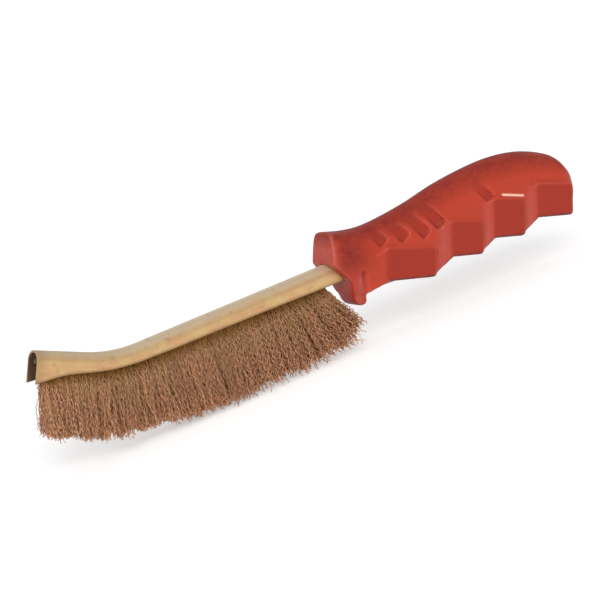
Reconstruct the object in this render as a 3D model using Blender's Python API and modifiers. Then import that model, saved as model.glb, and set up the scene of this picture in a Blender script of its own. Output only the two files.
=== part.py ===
"""Hand wire brush: a moulded handle, a folded sheet channel, and crimped wire folded over a core wire.

Metres, +Z up. The brush is drawn from the channel's axis: X runs from the head (-X) to the butt of the
handle (+X), with x = 0 where the channel enters the handle, and z = 0 on the core wire. The finished
brush is then set with the middle of its box over the origin and its wire tips on z = 0.
"""

import math
import random

import bmesh
import bpy
from mathutils import Matrix, Vector

# Clearance between pieces that touch, and the distance at which two points count as one
FIT = 0.0003
SAME_POINT = 1e-6

# Channel: a folded U of sheet, round back upwards, bent up at the head
CHANNEL_WIDTH = 0.0084
CHANNEL_WALL = 0.0008
CHANNEL_LEG = 0.0042
TIP_LEG = 0.0086
STRAIGHT_RUN = 0.093
BEND_RADIUS = 0.062
BEND_ANGLE = math.radians(22.5)
TIP_RUN = 0.0222
TANG_LENGTH = 0.058
BACK_STEPS = 8
BEND_STEPS = 6

# Core wire that the fill is folded over
CORE_DIAMETER = 0.002
CORE_END_MARGIN = 0.003

# Wire fill: tufts of crimped wire, folded over the core wire and squeezed in the channel
TUFT_COUNT = 24
FILL_TIP_MARGIN = 0.0040
FILL_HEEL_MARGIN = 0.0065
TUFT_GAP = 0.0002
TINE_COLUMNS = 3
TINE_ROWS = 2
TINE_GAP = 0.0004
TINE_STEPS = 3
WIRE_LENGTH = 0.0286
HEAD_WIRE_LENGTH = 0.0204
HEAD_TRIM_REACH = 0.075
RAGGED = 0.0014
CRIMP = 0.0005
FAN_INNER = math.radians(-3.3)
FAN_OUTER = math.radians(11.8)
FAN_JITTER = math.radians(2)
HEEL_TRIM = 0.0050
HEEL_TRIM_REACH = 0.0045
HEEL_SPLAY_REACH = 0.032
HEEL_CURVE = 1.5
HEAD_SET_BACK = math.radians(11.5)
HEAD_SET_BACK_REACH = 0.048
FOLD_STEPS = 4
SEED = 7

# Handle: moulded in a frame of its own, which is raked down from the channel's axis
RAKE = math.radians(15)
HANDLE_HALF_WIDTH = 0.0095
NOSE_HALF_WIDTH = 0.0072
NOSE_ROUND = 0.009
BUTT_HALF_WIDTH = 0.0055
BUTT_ROUND = 0.006
SECTIONS = 18
END_SHARES = (0, 0.1, 0.3, 0.6, 1)
HANDLE_TOP = (
    (-0.0035, 0.0168),
    (0.0060, 0.0169),
    (0.0150, 0.0181),
    (0.0255, 0.0213),
    (0.0395, 0.0269),
    (0.0515, 0.0326),
    (0.0650, 0.0378),
    (0.0780, 0.0418),
    (0.0890, 0.0438),
    (0.0990, 0.0442),
    (0.1085, 0.0431),
    (0.1155, 0.0409),
    (0.1222, 0.0350),
)
HANDLE_FLOOR = (
    (-0.0035, -0.0060),
    (0.0070, -0.0100),
    (0.0125, -0.0106),
    (0.0180, -0.0086),
    (0.0240, -0.0068),
    (0.0360, -0.0048),
    (0.0500, -0.0024),
    (0.0750, 0.0050),
    (0.0960, 0.0108),
    (0.1140, 0.0160),
    (0.1222, 0.0208),
)
# Corners of the handle's section from the crown to the keel, in shares of its half width and height
SECTION = ((0.0, 1.02), (0.64, 0.92), (1.0, 0.50), (1.0, 0.22), (0.70, 0.0))
SHOULDER = SECTION[1]
BELLY = SECTION[2]
CORNER_SHARE = 0.42
SECTION_STEPS = 2
HOOD_DROP = 0.0036
HOOD_SET_BACK = 0.0080
HOOD_REACH = 0.0088

# Finger pads: flat-sided swells under the handle, each as (start, end, underside, top)
PADS = (
    (0.0225, 0.0468, -0.0050, 0.0096),
    (0.0552, 0.0714, 0.0026, 0.0184),
    (0.0772, 0.0936, 0.0088, 0.0264),
    (0.1005, 0.1196, 0.0159, 0.0313),
)
PAD_PROUD = 0.0008
PAD_CORNER = 0.0022
PAD_TOP_CORNER = 0.0012
PAD_TOP_SLOPE = 0.065
PAD_EDGE = 0.0012
# Each pad has a ramp, which starts inside the pad before it, this far inside the flank and above the keel
RAMP_OVERLAP = 0.0010
RAMP_SINK = 0.0004
RAMP_LIFT = 0.0012

# Finger guard behind the channel's mouth
GUARD_FRONT = 0.0088
GUARD_THICKNESS = 0.0060
GUARD_HALF_WIDTH = 0.0056
GUARD_ROOT_HALF_WIDTH = 0.0094
GUARD_DROP = 0.0143
GUARD_ROUND = 0.0026

# Rounding of the pads and the guard: steps at their corners and along their edges
CORNER_STEPS = 3
EDGE_STEPS = 2

# Grip grooves across the handle's flanks, each as (place along the handle, height, width, length)
GROOVES = (
    (0.0186, 0.0140, 0.0050, 0.0094),
    (0.0288, 0.0156, 0.0056, 0.0106),
    (0.0378, 0.0180, 0.0054, 0.0146),
    (0.0450, 0.0218, 0.0056, 0.0160),
    (0.0727, 0.0292, 0.0050, 0.0120),
)
GROOVE_DEPTH = 0.0008
GROOVE_LEAN = math.radians(44)
# Share of the flank's tilt that the grooves follow, so that they deepen downwards
GROOVE_TILT = 0.8

# Edges steeper than this stay sharp in the shading, and those of a pad's side get a round
SHARP_ANGLE = math.radians(32)
RIM_ANGLE = math.radians(60)

# Finishes: base colour, metallic, roughness
RED_PLASTIC = ((0.46, 0.035, 0.028), 0.0, 0.42)
BRASS_PLATE = ((0.66, 0.45, 0.20), 0.9, 0.36)
CORE_STEEL = ((0.45, 0.42, 0.38), 1.0, 0.4)
COPPERED_WIRE = ((0.30, 0.15, 0.075), 0.85, 0.45)


def finish(name, colour, metallic, roughness):
    """A material with one colour."""
    material = bpy.data.materials.new(name)
    material.use_nodes = True
    shader = material.node_tree.nodes["Principled BSDF"]
    shader.inputs["Base Color"].default_value = (*colour, 1)
    shader.inputs["Metallic"].default_value = metallic
    shader.inputs["Roughness"].default_value = roughness
    return material


def mesh_object(name, bm, collection, material=None):
    """An object that holds the bmesh, shaded smooth between its sharp edges."""
    bmesh.ops.recalc_face_normals(bm, faces=bm.faces)
    mesh = bpy.data.meshes.new(name)
    bm.to_mesh(mesh)
    bm.free()
    mesh.shade_smooth()
    mesh.set_sharp_from_angle(angle=SHARP_ANGLE)
    obj = bpy.data.objects.new(name, mesh)
    collection.objects.link(obj)
    if material:
        mesh.materials.append(material)
    return obj


def combine(target, helper, operation):
    """Joins the helper to the target, or cuts it away, and keeps the helper out of the finished brush."""
    helper.hide_render = True
    helper.display_type = "WIRE"
    boolean = target.modifiers.new(helper.name, "BOOLEAN")
    boolean.operation = operation
    boolean.object = helper


def points_in(geometry):
    """The vertices among what a bmesh operator made."""
    return [item for item in geometry if isinstance(item, bmesh.types.BMVert)]


def faces_in(geometry):
    """The faces among what a bmesh operator made."""
    return [item for item in geometry if isinstance(item, bmesh.types.BMFace)]


def smooth_through(points):
    """A smooth function of x through the points, which holds its last values past both ends."""
    xs = [x for x, _ in points]
    ys = [y for _, y in points]
    last = len(points) - 1
    slopes = []
    for i in range(last + 1):
        low, high = max(i - 1, 0), min(i + 1, last)
        slopes.append((ys[high] - ys[low]) / (xs[high] - xs[low]))

    def value(x):
        x = min(max(x, xs[0]), xs[-1])
        i = max(k for k in range(last) if xs[k] <= x)
        span = xs[i + 1] - xs[i]
        t = (x - xs[i]) / span
        rise = ys[i] * (1 + 2 * t) * (1 - t) ** 2 + ys[i + 1] * t * t * (3 - 2 * t)
        return rise + span * (slopes[i] * t * (1 - t) ** 2 - slopes[i + 1] * t * t * (1 - t))

    return value


def clamped(share):
    """The share, held between 0 and 1."""
    return min(max(share, 0), 1)


# Channel and core wire

HEAD_LENGTH = STRAIGHT_RUN + BEND_RADIUS * BEND_ANGLE + TIP_RUN


def axis_frame(run):
    """The frame on the channel's axis, run metres from the handle: local X to the head, Z to the back."""
    bend = min(max((run - STRAIGHT_RUN) / BEND_RADIUS, 0), BEND_ANGLE)
    past = max(run - STRAIGHT_RUN - BEND_RADIUS * BEND_ANGLE, 0)
    reach = min(run, STRAIGHT_RUN) + BEND_RADIUS * math.sin(bend) + past * math.cos(bend)
    rise = BEND_RADIUS * (1 - math.cos(bend)) + past * math.sin(bend)
    turn = Matrix.Rotation(math.pi, 4, "Z") @ Matrix.Rotation(-bend, 4, "Y")
    return Matrix.Translation((-reach, 0, rise)) @ turn


def leg_depth(run):
    """How far the channel's legs reach below its axis: they deepen from the bend to the tip."""
    share = clamped((run - STRAIGHT_RUN) / (HEAD_LENGTH - STRAIGHT_RUN))
    return CHANNEL_LEG + (TIP_LEG - CHANNEL_LEG) * share


def bend_runs(first, last):
    """Places along the axis that a piece from first to last needs to follow the bend."""
    steps = [STRAIGHT_RUN + BEND_RADIUS * BEND_ANGLE * i / BEND_STEPS for i in range(BEND_STEPS + 1)]
    return [first] + [run for run in steps if first < run < last] + [last]


def folded_sheet(name, runs, radius, leg_extra, wall, collection):
    """A U of sheet along the axis, its outer face at the radius and its wall inwards."""
    bm = bmesh.new()
    rows = []
    for run in runs:
        frame = axis_frame(run)
        leg = leg_depth(run) + leg_extra
        outline = [(radius, -leg)]
        for i in range(BACK_STEPS + 1):
            turn = math.pi * i / BACK_STEPS
            outline.append((radius * math.cos(turn), radius * math.sin(turn)))
        outline.append((-radius, -leg))
        rows.append([bm.verts.new(frame @ Vector((0, y, z))) for y, z in outline])
    for row, following in zip(rows, rows[1:]):
        for i in range(len(row) - 1):
            bm.faces.new((row[i], row[i + 1], following[i + 1], following[i]))
    sheet = mesh_object(name, bm, collection)
    solidify = sheet.modifiers.new("sheet", "SOLIDIFY")
    solidify.thickness = wall
    solidify.offset = -1
    solidify.use_even_offset = True
    return sheet


def core_wire(collection, material):
    """A round wire along the axis, over the whole fill."""
    first = FILL_HEEL_MARGIN - CORE_END_MARGIN
    last = HEAD_LENGTH - FILL_TIP_MARGIN + CORE_END_MARGIN
    curve = bpy.data.curves.new("core_wire", "CURVE")
    curve.dimensions = "3D"
    curve.bevel_depth = CORE_DIAMETER / 2
    curve.bevel_resolution = 2
    curve.use_fill_caps = True
    runs = bend_runs(first, last)
    spline = curve.splines.new("POLY")
    spline.points.add(len(runs) - 1)
    for point, run in zip(spline.points, runs):
        point.co = (*axis_frame(run).translation, 1)
    curve.materials.append(material)
    wire = bpy.data.objects.new("core_wire", curve)
    collection.objects.link(wire)
    return wire


# Wire fill: the hank of each tuft lies between the core wire and the channel's walls

HANK_INNER = CORE_DIAMETER / 2 + FIT
HANK_OUTER = CHANNEL_WIDTH / 2 - CHANNEL_WALL - FIT
TUFT_PITCH = (HEAD_LENGTH - FILL_TIP_MARGIN - FILL_HEEL_MARGIN) / TUFT_COUNT
# Tufts close up at their folds where the channel bends, so each is that much narrower than the pitch
BEND_PINCH = HANK_OUTER * math.tan(TUFT_PITCH / BEND_RADIUS / 2)
TUFT_LENGTH = TUFT_PITCH - TUFT_GAP - 2 * BEND_PINCH
TINE_PITCH = TUFT_LENGTH / TINE_COLUMNS
HEEL_ROOT = FILL_HEEL_MARGIN + (TUFT_PITCH - TUFT_LENGTH + TINE_PITCH) / 2
HANDLE_TURN = Matrix.Rotation(RAKE, 4, "Y")


def heel_splay():
    """Lean of the last wires at the heel, which just clear the lower front edge of the guard."""
    edge = HANDLE_TURN @ Vector((GUARD_FRONT, 0, -GUARD_DROP))
    across, down = edge.x + HEEL_ROOT, -edge.z - CHANNEL_LEG
    clear = (TINE_PITCH - TINE_GAP) / 2 + FIT
    return math.atan2(across, down) - math.asin(clear / math.hypot(across, down))


def splay(run):
    """How far a wire leans to the handle: strongly at the heel, and a little at the bent-up head."""
    heel = clamped(1 - (run - HEEL_ROOT) / HEEL_SPLAY_REACH)
    head = clamped(1 - (HEAD_LENGTH - run) / HEAD_SET_BACK_REACH)
    return -heel_splay() * heel**HEEL_CURVE - HEAD_SET_BACK * head


def wire_length(run):
    """Trimmed length of the wires below the channel: shorter towards the head, and at the splayed heel."""
    share = clamped((run - (HEAD_LENGTH - HEAD_TRIM_REACH)) / HEAD_TRIM_REACH)
    heel = clamped(1 - (run - HEEL_ROOT) / HEEL_TRIM_REACH)
    return WIRE_LENGTH + (HEAD_WIRE_LENGTH - WIRE_LENGTH) * share - HEEL_TRIM * heel


def folded_hank(foot):
    """A flat hank of wire: up one side of the core wire, round it and down the other side to its feet."""
    bm = bmesh.new()
    half = TUFT_LENGTH / 2
    corners = ((-half, HANK_INNER), (half, HANK_INNER), (half, HANK_OUTER), (-half, HANK_OUTER))
    start = bm.faces.new([bm.verts.new((x, y, -foot)) for x, y in corners])
    risen = bmesh.ops.extrude_face_region(bm, geom=[start])["geom"]
    bmesh.ops.translate(bm, verts=points_in(risen), vec=(0, 0, foot))
    near = faces_in(risen)
    round_core = {"cent": (0, 0, 0), "axis": (1, 0, 0), "angle": math.pi, "steps": FOLD_STEPS}
    far = faces_in(bmesh.ops.spin(bm, geom=near, **round_core)["geom_last"])
    fallen = bmesh.ops.extrude_face_region(bm, geom=far)["geom"]
    bmesh.ops.translate(bm, verts=points_in(fallen), vec=(0, 0, -foot))
    inside = [face for face in near + far if face.is_valid]
    bmesh.ops.delete(bm, geom=inside, context="FACES_ONLY")
    bmesh.ops.remove_doubles(bm, verts=bm.verts, dist=SAME_POINT)
    return bm


def feet_of(bm, foot):
    """The faces at the feet of a hank."""
    return [face for face in bm.faces if all(abs(v.co.z + foot) < SAME_POINT for v in face.verts)]


def tine_cells(bm, foot):
    """Divides the feet of a hank into one cell for each tine, with a gap round it."""
    for axis, count in ((0, TINE_COLUMNS), (1, TINE_ROWS)):
        edges = {edge for face in feet_of(bm, foot) for edge in face.edges}
        along = [e for e in edges if abs(e.verts[0].co[axis] - e.verts[1].co[axis]) > SAME_POINT]
        bmesh.ops.subdivide_edges(bm, edges=along, cuts=count - 1, use_grid_fill=True)
    cells = feet_of(bm, foot)
    bmesh.ops.inset_individual(bm, faces=cells, thickness=TINE_GAP / 2, use_even_offset=True)
    return cells


def wire_tuft(index, collection, material):
    """One tuft: a hank folded over the core wire, and combed into crimped tines below the channel."""
    draw = random.Random(SEED * 1000 + index)
    middle = FILL_HEEL_MARGIN + TUFT_PITCH * (index + 0.5)
    foot = leg_depth(middle)
    bm = folded_hank(foot)

    # Each tine goes down its own line, fanned out sideways and crimped along the channel
    for cell in tine_cells(bm, foot):
        root = cell.calc_center_median()
        length = wire_length(middle + root.x) + RAGGED * draw.uniform(-1, 1)
        lean = splay(middle + root.x)
        share = (abs(root.y) - HANK_INNER) / (HANK_OUTER - HANK_INNER)
        fan = FAN_INNER + (FAN_OUTER - FAN_INNER) * share + FAN_JITTER * draw.uniform(-1, 1)
        sideways = math.copysign(math.tan(fan), root.y)
        tip = Vector((math.sin(lean), sideways, -math.cos(lean))) * length
        for step in range(1, TINE_STEPS + 1):
            crimp = CRIMP * (-1) ** step if step < TINE_STEPS else 0
            target = root + tip * step / TINE_STEPS + Vector((crimp, 0, 0))
            cell = bmesh.ops.extrude_discrete_faces(bm, faces=[cell])["faces"][0]
            bmesh.ops.translate(bm, verts=cell.verts, vec=target - cell.calc_center_median())
    bmesh.ops.transform(bm, matrix=axis_frame(middle), verts=bm.verts)
    return mesh_object(f"wire_tuft_{index + 1:02d}", bm, collection, material)


# Handle

top_of = smooth_through(HANDLE_TOP)
floor_of = smooth_through(HANDLE_FLOOR)
HANDLE_START = HANDLE_TOP[0][0]
HANDLE_END = HANDLE_TOP[-1][0]


def rounded(distance, radius):
    """Share of full size that is left, distance metres from a rounded end."""
    return math.sqrt(1 - (1 - clamped(distance / radius)) ** 2)


def half_width_of(place):
    """Half width of the handle at a place along it, drawn in at both rounded ends."""
    nose = (HANDLE_HALF_WIDTH - NOSE_HALF_WIDTH) * (1 - rounded(place - HANDLE_START, NOSE_ROUND))
    butt = (HANDLE_HALF_WIDTH - BUTT_HALF_WIDTH) * (1 - rounded(HANDLE_END - place, BUTT_ROUND))
    return HANDLE_HALF_WIDTH - nose - butt


def flank_of(place, rise):
    """Half width of the handle at a height on its flank, before its corners are rounded."""
    share = (rise - floor_of(place)) / (top_of(place) - floor_of(place))
    drawn_in = clamped((share - BELLY[1]) / (SHOULDER[1] - BELLY[1]))
    return half_width_of(place) * (BELLY[0] + (SHOULDER[0] - BELLY[0]) * drawn_in)


def section_outline():
    """Rounded outline of the handle's section, in shares of its half width and height."""
    half = [Vector(corner) for corner in SECTION]
    corners = half + [Vector((-corner.x, corner.y)) for corner in half[:0:-1]]
    outline = []
    for i, corner in enumerate(corners):
        before = corner.lerp(corners[i - 1], CORNER_SHARE)
        after = corner.lerp(corners[(i + 1) % len(corners)], CORNER_SHARE)
        for step in range(SECTION_STEPS + 1):
            t = step / SECTION_STEPS
            outline.append(before.lerp(corner, t).lerp(corner.lerp(after, t), t))
    return outline


def handle_body(collection, material):
    """The body of the handle, lofted through rounded sections."""
    nose = [HANDLE_START + NOSE_ROUND * share for share in END_SHARES]
    butt = [HANDLE_END - BUTT_ROUND * share for share in END_SHARES]
    step = (butt[-1] - nose[-1]) / SECTIONS
    middle = [nose[-1] + step * i for i in range(1, SECTIONS)]
    outline = section_outline()
    bm = bmesh.new()
    rings = []
    for place in nose + middle + butt[::-1]:
        floor, height = floor_of(place), top_of(place) - floor_of(place)
        width = half_width_of(place)
        rings.append([bm.verts.new((place, width * p.x, floor + height * p.y)) for p in outline])
    for ring, following in zip(rings, rings[1:]):
        for i in range(len(ring)):
            j = (i + 1) % len(ring)
            bm.faces.new((ring[i], ring[j], following[j], following[i]))
    bm.faces.new(rings[0])
    bm.faces.new(rings[-1])
    return mesh_object("handle", bm, collection, material)


def rounded_block(name, size, centre, corner, edge, collection):
    """A block with round corners in side view and a small round along its side faces."""
    bm = bmesh.new()
    bmesh.ops.create_cube(bm, size=1)
    bmesh.ops.scale(bm, vec=size, verts=bm.verts)
    crosswise = [e for e in bm.edges if abs(e.verts[0].co.y - e.verts[1].co.y) > SAME_POINT]
    bmesh.ops.bevel(
        bm, geom=crosswise, offset=corner, segments=CORNER_STEPS, profile=0.5, affect="EDGES"
    )
    rim = [e for e in bm.edges if abs(abs(e.verts[0].co.y + e.verts[1].co.y) - size[1]) < SAME_POINT]
    bmesh.ops.bevel(bm, geom=rim, offset=edge, segments=EDGE_STEPS, profile=0.5, affect="EDGES")
    bmesh.ops.translate(bm, verts=bm.verts, vec=centre)
    return mesh_object(name, bm, collection)


def finger_pad(name, front, start, end, underside, top, collection):
    """A flat-sided swell that a finger lies behind, with a ramp that rises to it from the front."""
    bm = bmesh.new()
    wide = HANDLE_HALF_WIDTH + PAD_PROUD
    belly = floor_of(front) + BELLY[1] * (top_of(front) - floor_of(front))
    bmesh.ops.create_cube(bm, size=1)
    bmesh.ops.scale(bm, vec=(end - front, 2 * wide, top - underside), verts=bm.verts)
    bmesh.ops.translate(bm, vec=((end + front) / 2, 0, (top + underside) / 2), verts=bm.verts)
    everything = bm.verts[:] + bm.edges[:] + bm.faces[:]
    bmesh.ops.bisect_plane(bm, geom=everything, plane_co=(start, 0, 0), plane_no=(1, 0, 0))
    middle = (top + underside) / 2
    for vertex in bm.verts:
        upper = vertex.co.z > middle
        if vertex.co.x < start - SAME_POINT:
            vertex.co.y = math.copysign(HANDLE_HALF_WIDTH - RAMP_SINK, vertex.co.y)
            vertex.co.z = belly if upper else floor_of(front) + RAMP_LIFT
        elif upper:
            vertex.co.z -= PAD_TOP_SLOPE * (vertex.co.x - start)

    # Round corners behind, and a small round along the pad's sides
    for upper, corner in ((False, PAD_CORNER), (True, PAD_TOP_CORNER)):
        across = [
            edge
            for edge in bm.edges
            if all(v.co.x > end - SAME_POINT and (v.co.z > middle) == upper for v in edge.verts)
        ]
        bmesh.ops.bevel(
            bm, geom=across, offset=corner, segments=CORNER_STEPS, profile=0.5, affect="EDGES"
        )
    rim = []
    for edge in bm.edges:
        outside = all(abs(abs(v.co.y) - wide) < SAME_POINT for v in edge.verts)
        if outside and edge.calc_face_angle() > RIM_ANGLE:
            rim.append(edge)
    bmesh.ops.bevel(bm, geom=rim, offset=PAD_EDGE, segments=EDGE_STEPS, profile=0.5, affect="EDGES")
    return mesh_object(name, bm, collection)


def finger_pads(collection):
    """The swells that the fingers lie between, each with its ramp from the guard or the pad before it."""
    fronts = [GUARD_FRONT + GUARD_THICKNESS / 2] + [end - RAMP_OVERLAP for _, end, _, _ in PADS[:-1]]
    pads = []
    for number, (front, pad) in enumerate(zip(fronts, PADS), 1):
        pads.append(finger_pad(f"finger_pad_{number}", front, *pad, collection))
    return pads


def finger_guard(collection):
    """The fin below the channel's mouth that keeps the fingers off the wires."""
    size = (GUARD_THICKNESS, 2 * GUARD_HALF_WIDTH, GUARD_DROP)
    centre = (GUARD_FRONT + GUARD_THICKNESS / 2, 0, -GUARD_DROP / 2)
    guard = rounded_block("finger_guard", size, centre, GUARD_ROUND, GUARD_ROUND / 2, collection)
    # It widens upwards, and its front keeps just behind the slanted front of the handle
    slant = (GUARD_FRONT - HANDLE_START - HOOD_REACH) / (GUARD_DROP + HOOD_DROP - HOOD_SET_BACK)
    for vertex in guard.data.vertices:
        rise = GUARD_DROP + vertex.co.z
        vertex.co.x += FIT - slant * rise
        vertex.co.y *= 1 + (GUARD_ROOT_HALF_WIDTH / GUARD_HALF_WIDTH - 1) * rise / GUARD_DROP
    return guard


def grip_grooves(collection):
    """Slanted blocks that cut the grip grooves, in both flanks of the handle."""
    bm = bmesh.new()
    for place, rise, width, length in GROOVES:
        out = flank_of(place, rise)
        above = (SHOULDER[1] - BELLY[1]) * (top_of(place) - floor_of(place))
        tilt = math.atan2((BELLY[0] - SHOULDER[0]) * half_width_of(place), above)
        for side in (-1, 1):
            slot = bmesh.ops.create_cube(bm, size=1)["verts"]
            bmesh.ops.scale(bm, vec=(width, 2 * GROOVE_DEPTH, length), verts=slot)
            turn = Matrix.Rotation(side * tilt * GROOVE_TILT, 4, "X") @ Matrix.Rotation(-GROOVE_LEAN, 4, "Y")
            place_it = Matrix.Translation((place, side * out, rise)) @ turn
            bmesh.ops.transform(bm, matrix=place_it, verts=slot)
    return mesh_object("grip_grooves", bm, collection)


def hood_cut(collection):
    """A wedge that sets the handle's front back below the hood over the channel."""
    reach = HANDLE_HALF_WIDTH * 2
    front = HANDLE_START - reach
    outline = (
        (front, HOOD_DROP),
        (HANDLE_START, HOOD_DROP),
        (HANDLE_START + HOOD_REACH, HOOD_DROP - HOOD_SET_BACK),
        (GUARD_FRONT, -GUARD_DROP),
        (GUARD_FRONT, -reach),
        (front, -reach),
    )
    bm = bmesh.new()
    face = bm.faces.new([bm.verts.new((x, -reach, z)) for x, z in outline])
    grown = bmesh.ops.extrude_face_region(bm, geom=[face])["geom"]
    bmesh.ops.translate(bm, verts=points_in(grown), vec=(0, 2 * reach, 0))
    return mesh_object("hood_cut", bm, collection)


def handle(collection, cutters, material):
    """The moulded handle, with its pads, guard and grooves and the socket for the channel's tang."""
    body = handle_body(collection, material)
    steps = [(hood_cut(cutters), "DIFFERENCE"), (grip_grooves(cutters), "DIFFERENCE")]
    steps += [(pad, "UNION") for pad in finger_pads(cutters)]
    steps.append((finger_guard(cutters), "UNION"))
    for helper, operation in steps:
        helper.matrix_world = HANDLE_TURN
        combine(body, helper, operation)
    body.matrix_world = HANDLE_TURN

    # The socket is the channel's own section with clearance all round, so a tongue fills the U
    runs = (-TANG_LENGTH - FIT, CHANNEL_WIDTH * 2)
    radius = CHANNEL_WIDTH / 2 + FIT
    socket = folded_sheet("tang_socket", runs, radius, FIT, CHANNEL_WALL + 2 * FIT, cutters)
    combine(body, socket, "DIFFERENCE")
    body.modifiers.new("shading", "WEIGHTED_NORMAL").keep_sharp = True
    return body


def box_of(objects):
    """Lowest and highest corners of the objects as they are evaluated."""
    bpy.context.view_layer.update()
    graph = bpy.context.evaluated_depsgraph_get()
    points = []
    for obj in objects:
        evaluated = obj.evaluated_get(graph)
        mesh = evaluated.to_mesh()
        points += [evaluated.matrix_world @ vertex.co for vertex in mesh.vertices]
        evaluated.to_mesh_clear()
    low = Vector([min(point[axis] for point in points) for axis in range(3)])
    high = Vector([max(point[axis] for point in points) for axis in range(3)])
    return low, high


def main():
    for obj in list(bpy.data.objects):
        bpy.data.objects.remove(obj)
    parts = bpy.data.collections.new("wire_brush")
    cutters = bpy.data.collections.new("cutters")
    bpy.context.scene.collection.children.link(parts)
    bpy.context.scene.collection.children.link(cutters)

    brush = bpy.data.objects.new("brush", None)
    parts.objects.link(brush)
    pieces = [handle(parts, cutters, finish("red_plastic", *RED_PLASTIC))]

    channel_runs = bend_runs(-TANG_LENGTH, HEAD_LENGTH)
    channel = folded_sheet("channel", channel_runs, CHANNEL_WIDTH / 2, 0, CHANNEL_WALL, parts)
    channel.data.materials.append(finish("brass_plate", *BRASS_PLATE))
    pieces.append(channel)

    pieces.append(core_wire(parts, finish("core_steel", *CORE_STEEL)))
    coppered = finish("coppered_wire", *COPPERED_WIRE)
    for index in range(TUFT_COUNT):
        pieces.append(wire_tuft(index, parts, coppered))

    # The brush stands on its wire tips, with the middle of its box over the origin
    low, high = box_of(pieces)
    for piece in pieces + list(cutters.objects):
        piece.parent = brush
    brush.location = (-(low.x + high.x) / 2, -(low.y + high.y) / 2, -low.z)


main()
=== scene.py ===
"""Looks of a hand wire brush: moulded handle, plated channel, core wire, crimped wire fill and a stage.

Metres, +Z up. Pieces are drawn from the channel's axis, as the solids are: X runs from the head (-X) to
the butt of the handle (+X), with x = 0 where the channel enters the handle, and z = 0 on the core wire.
The frame's nodes give the place of that origin in the finished brush.
"""

import itertools
import math

import bmesh
import bpy
import numpy as np
from bpy.props import FloatProperty, FloatVectorProperty, IntProperty, PointerProperty
from mathutils import Matrix, Vector


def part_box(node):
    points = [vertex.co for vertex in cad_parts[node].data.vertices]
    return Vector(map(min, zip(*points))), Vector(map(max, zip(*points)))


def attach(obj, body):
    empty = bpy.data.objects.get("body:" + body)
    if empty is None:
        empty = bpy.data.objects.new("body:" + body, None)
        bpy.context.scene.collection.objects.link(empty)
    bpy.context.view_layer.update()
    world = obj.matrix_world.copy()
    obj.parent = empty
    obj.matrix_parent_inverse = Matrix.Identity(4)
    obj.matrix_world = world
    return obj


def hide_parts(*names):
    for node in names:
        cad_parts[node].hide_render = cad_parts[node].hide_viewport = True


bl_info = {
    "name": "Wire brush",
    "version": (1, 0, 0),
    "blender": (4, 5, 0),
    "location": "View3D > Sidebar > Wire brush",
    "description": "Builds the looks of a hand wire brush on its packed frame",
    "category": "Object",
}

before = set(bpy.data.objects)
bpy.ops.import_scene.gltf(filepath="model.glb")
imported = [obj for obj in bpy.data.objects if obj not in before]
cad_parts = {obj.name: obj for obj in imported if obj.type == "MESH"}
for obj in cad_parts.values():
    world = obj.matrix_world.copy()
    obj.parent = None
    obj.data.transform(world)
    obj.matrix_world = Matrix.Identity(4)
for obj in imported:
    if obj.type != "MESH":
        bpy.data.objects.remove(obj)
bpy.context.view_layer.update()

# Clearance between pieces that touch, and how close two places are that count as one
FIT = 0.0003
SAME = FIT / 10

# Channel: a folded U of sheet, round back upwards, bent up at the head
CHANNEL_WIDTH = 0.0084
CHANNEL_WALL = 0.0008
CHANNEL_LEG = 0.0042
TIP_LEG = 0.0086
STRAIGHT_RUN = 0.093
BEND_RADIUS = 0.062
BEND_ANGLE = math.radians(22.5)
TIP_RUN = 0.0222
TANG_LENGTH = 0.058
HEAD_LENGTH = STRAIGHT_RUN + BEND_RADIUS * BEND_ANGLE + TIP_RUN
# How far the legs reach below the axis, as (distance from the handle, reach)
LEG_LINE = (
    (0.0, CHANNEL_LEG),
    (0.020, 0.0037),
    (0.045, 0.0033),
    (0.080, 0.0029),
    (0.103, 0.0026),
    (0.1257, 0.0046),
    (HEAD_LENGTH, TIP_LEG),
)
# The sheet's cut edges turn by more than this angle, and are rounded off in steps
CUT_EDGE_ANGLE = math.radians(50)
CUT_EDGE_STEPS = 2
# Edges that still turn by more than this are shaded sharp
CHANNEL_SHARP_ANGLE = math.radians(40)
# Darkening towards the cut end of the head, and painted shade on the legs' feet
END_DARKENING_REACH = 0.006
FOOT_SHADE = 0.0012
# Range in which faces turn into the inside, which is painted in shade, by their distance from the middle
# plane times their turn from it
INSIDE = (-0.0004, -0.0012)

# Wire fill: tufts of crimped wire, folded over the core wire and squeezed in the channel
CORE_DIAMETER = 0.002
TUFT_COUNT = 24
FILL_TIP_MARGIN = 0.0040
FILL_HEEL_MARGIN = 0.0065
TUFT_PITCH = (HEAD_LENGTH - FILL_TIP_MARGIN - FILL_HEEL_MARGIN) / TUFT_COUNT
HANK_INNER = CORE_DIAMETER / 2 + FIT
HANK_OUTER = CHANNEL_WIDTH / 2 - CHANNEL_WALL - FIT
WIRE_LENGTH = 0.0286
HEAD_WIRE_LENGTH = 0.0204
HEAD_TRIM_REACH = 0.075
HEEL_TRIM = 0.0050
HEEL_TRIM_REACH = 0.0045
# The wires fan out across the channel, lean to the handle at the heel and are set back at the head
FAN_INNER = math.radians(-3.3)
FAN_OUTER = math.radians(11.8)
HEEL_SPLAY = math.radians(33)
HEEL_SPLAY_REACH = 0.032
HEEL_CURVE = 1.5
HEAD_SET_BACK = math.radians(11.5)
HEAD_SET_BACK_REACH = 0.048
# Wires leave the channel in bundles, and the inner ones draw together by this share
BUNDLE = 34
PINCH = 0.7
# The crimp is full this far below the channel, and slow waves run through it
CRIMP_START = 0.0025
WAVE_LENGTH = 0.013
# Each wire has so many sides, and so many of its steps hidden in the channel
WIRE_SIDES = 3
HIDDEN_STEPS = 3.0
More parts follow.
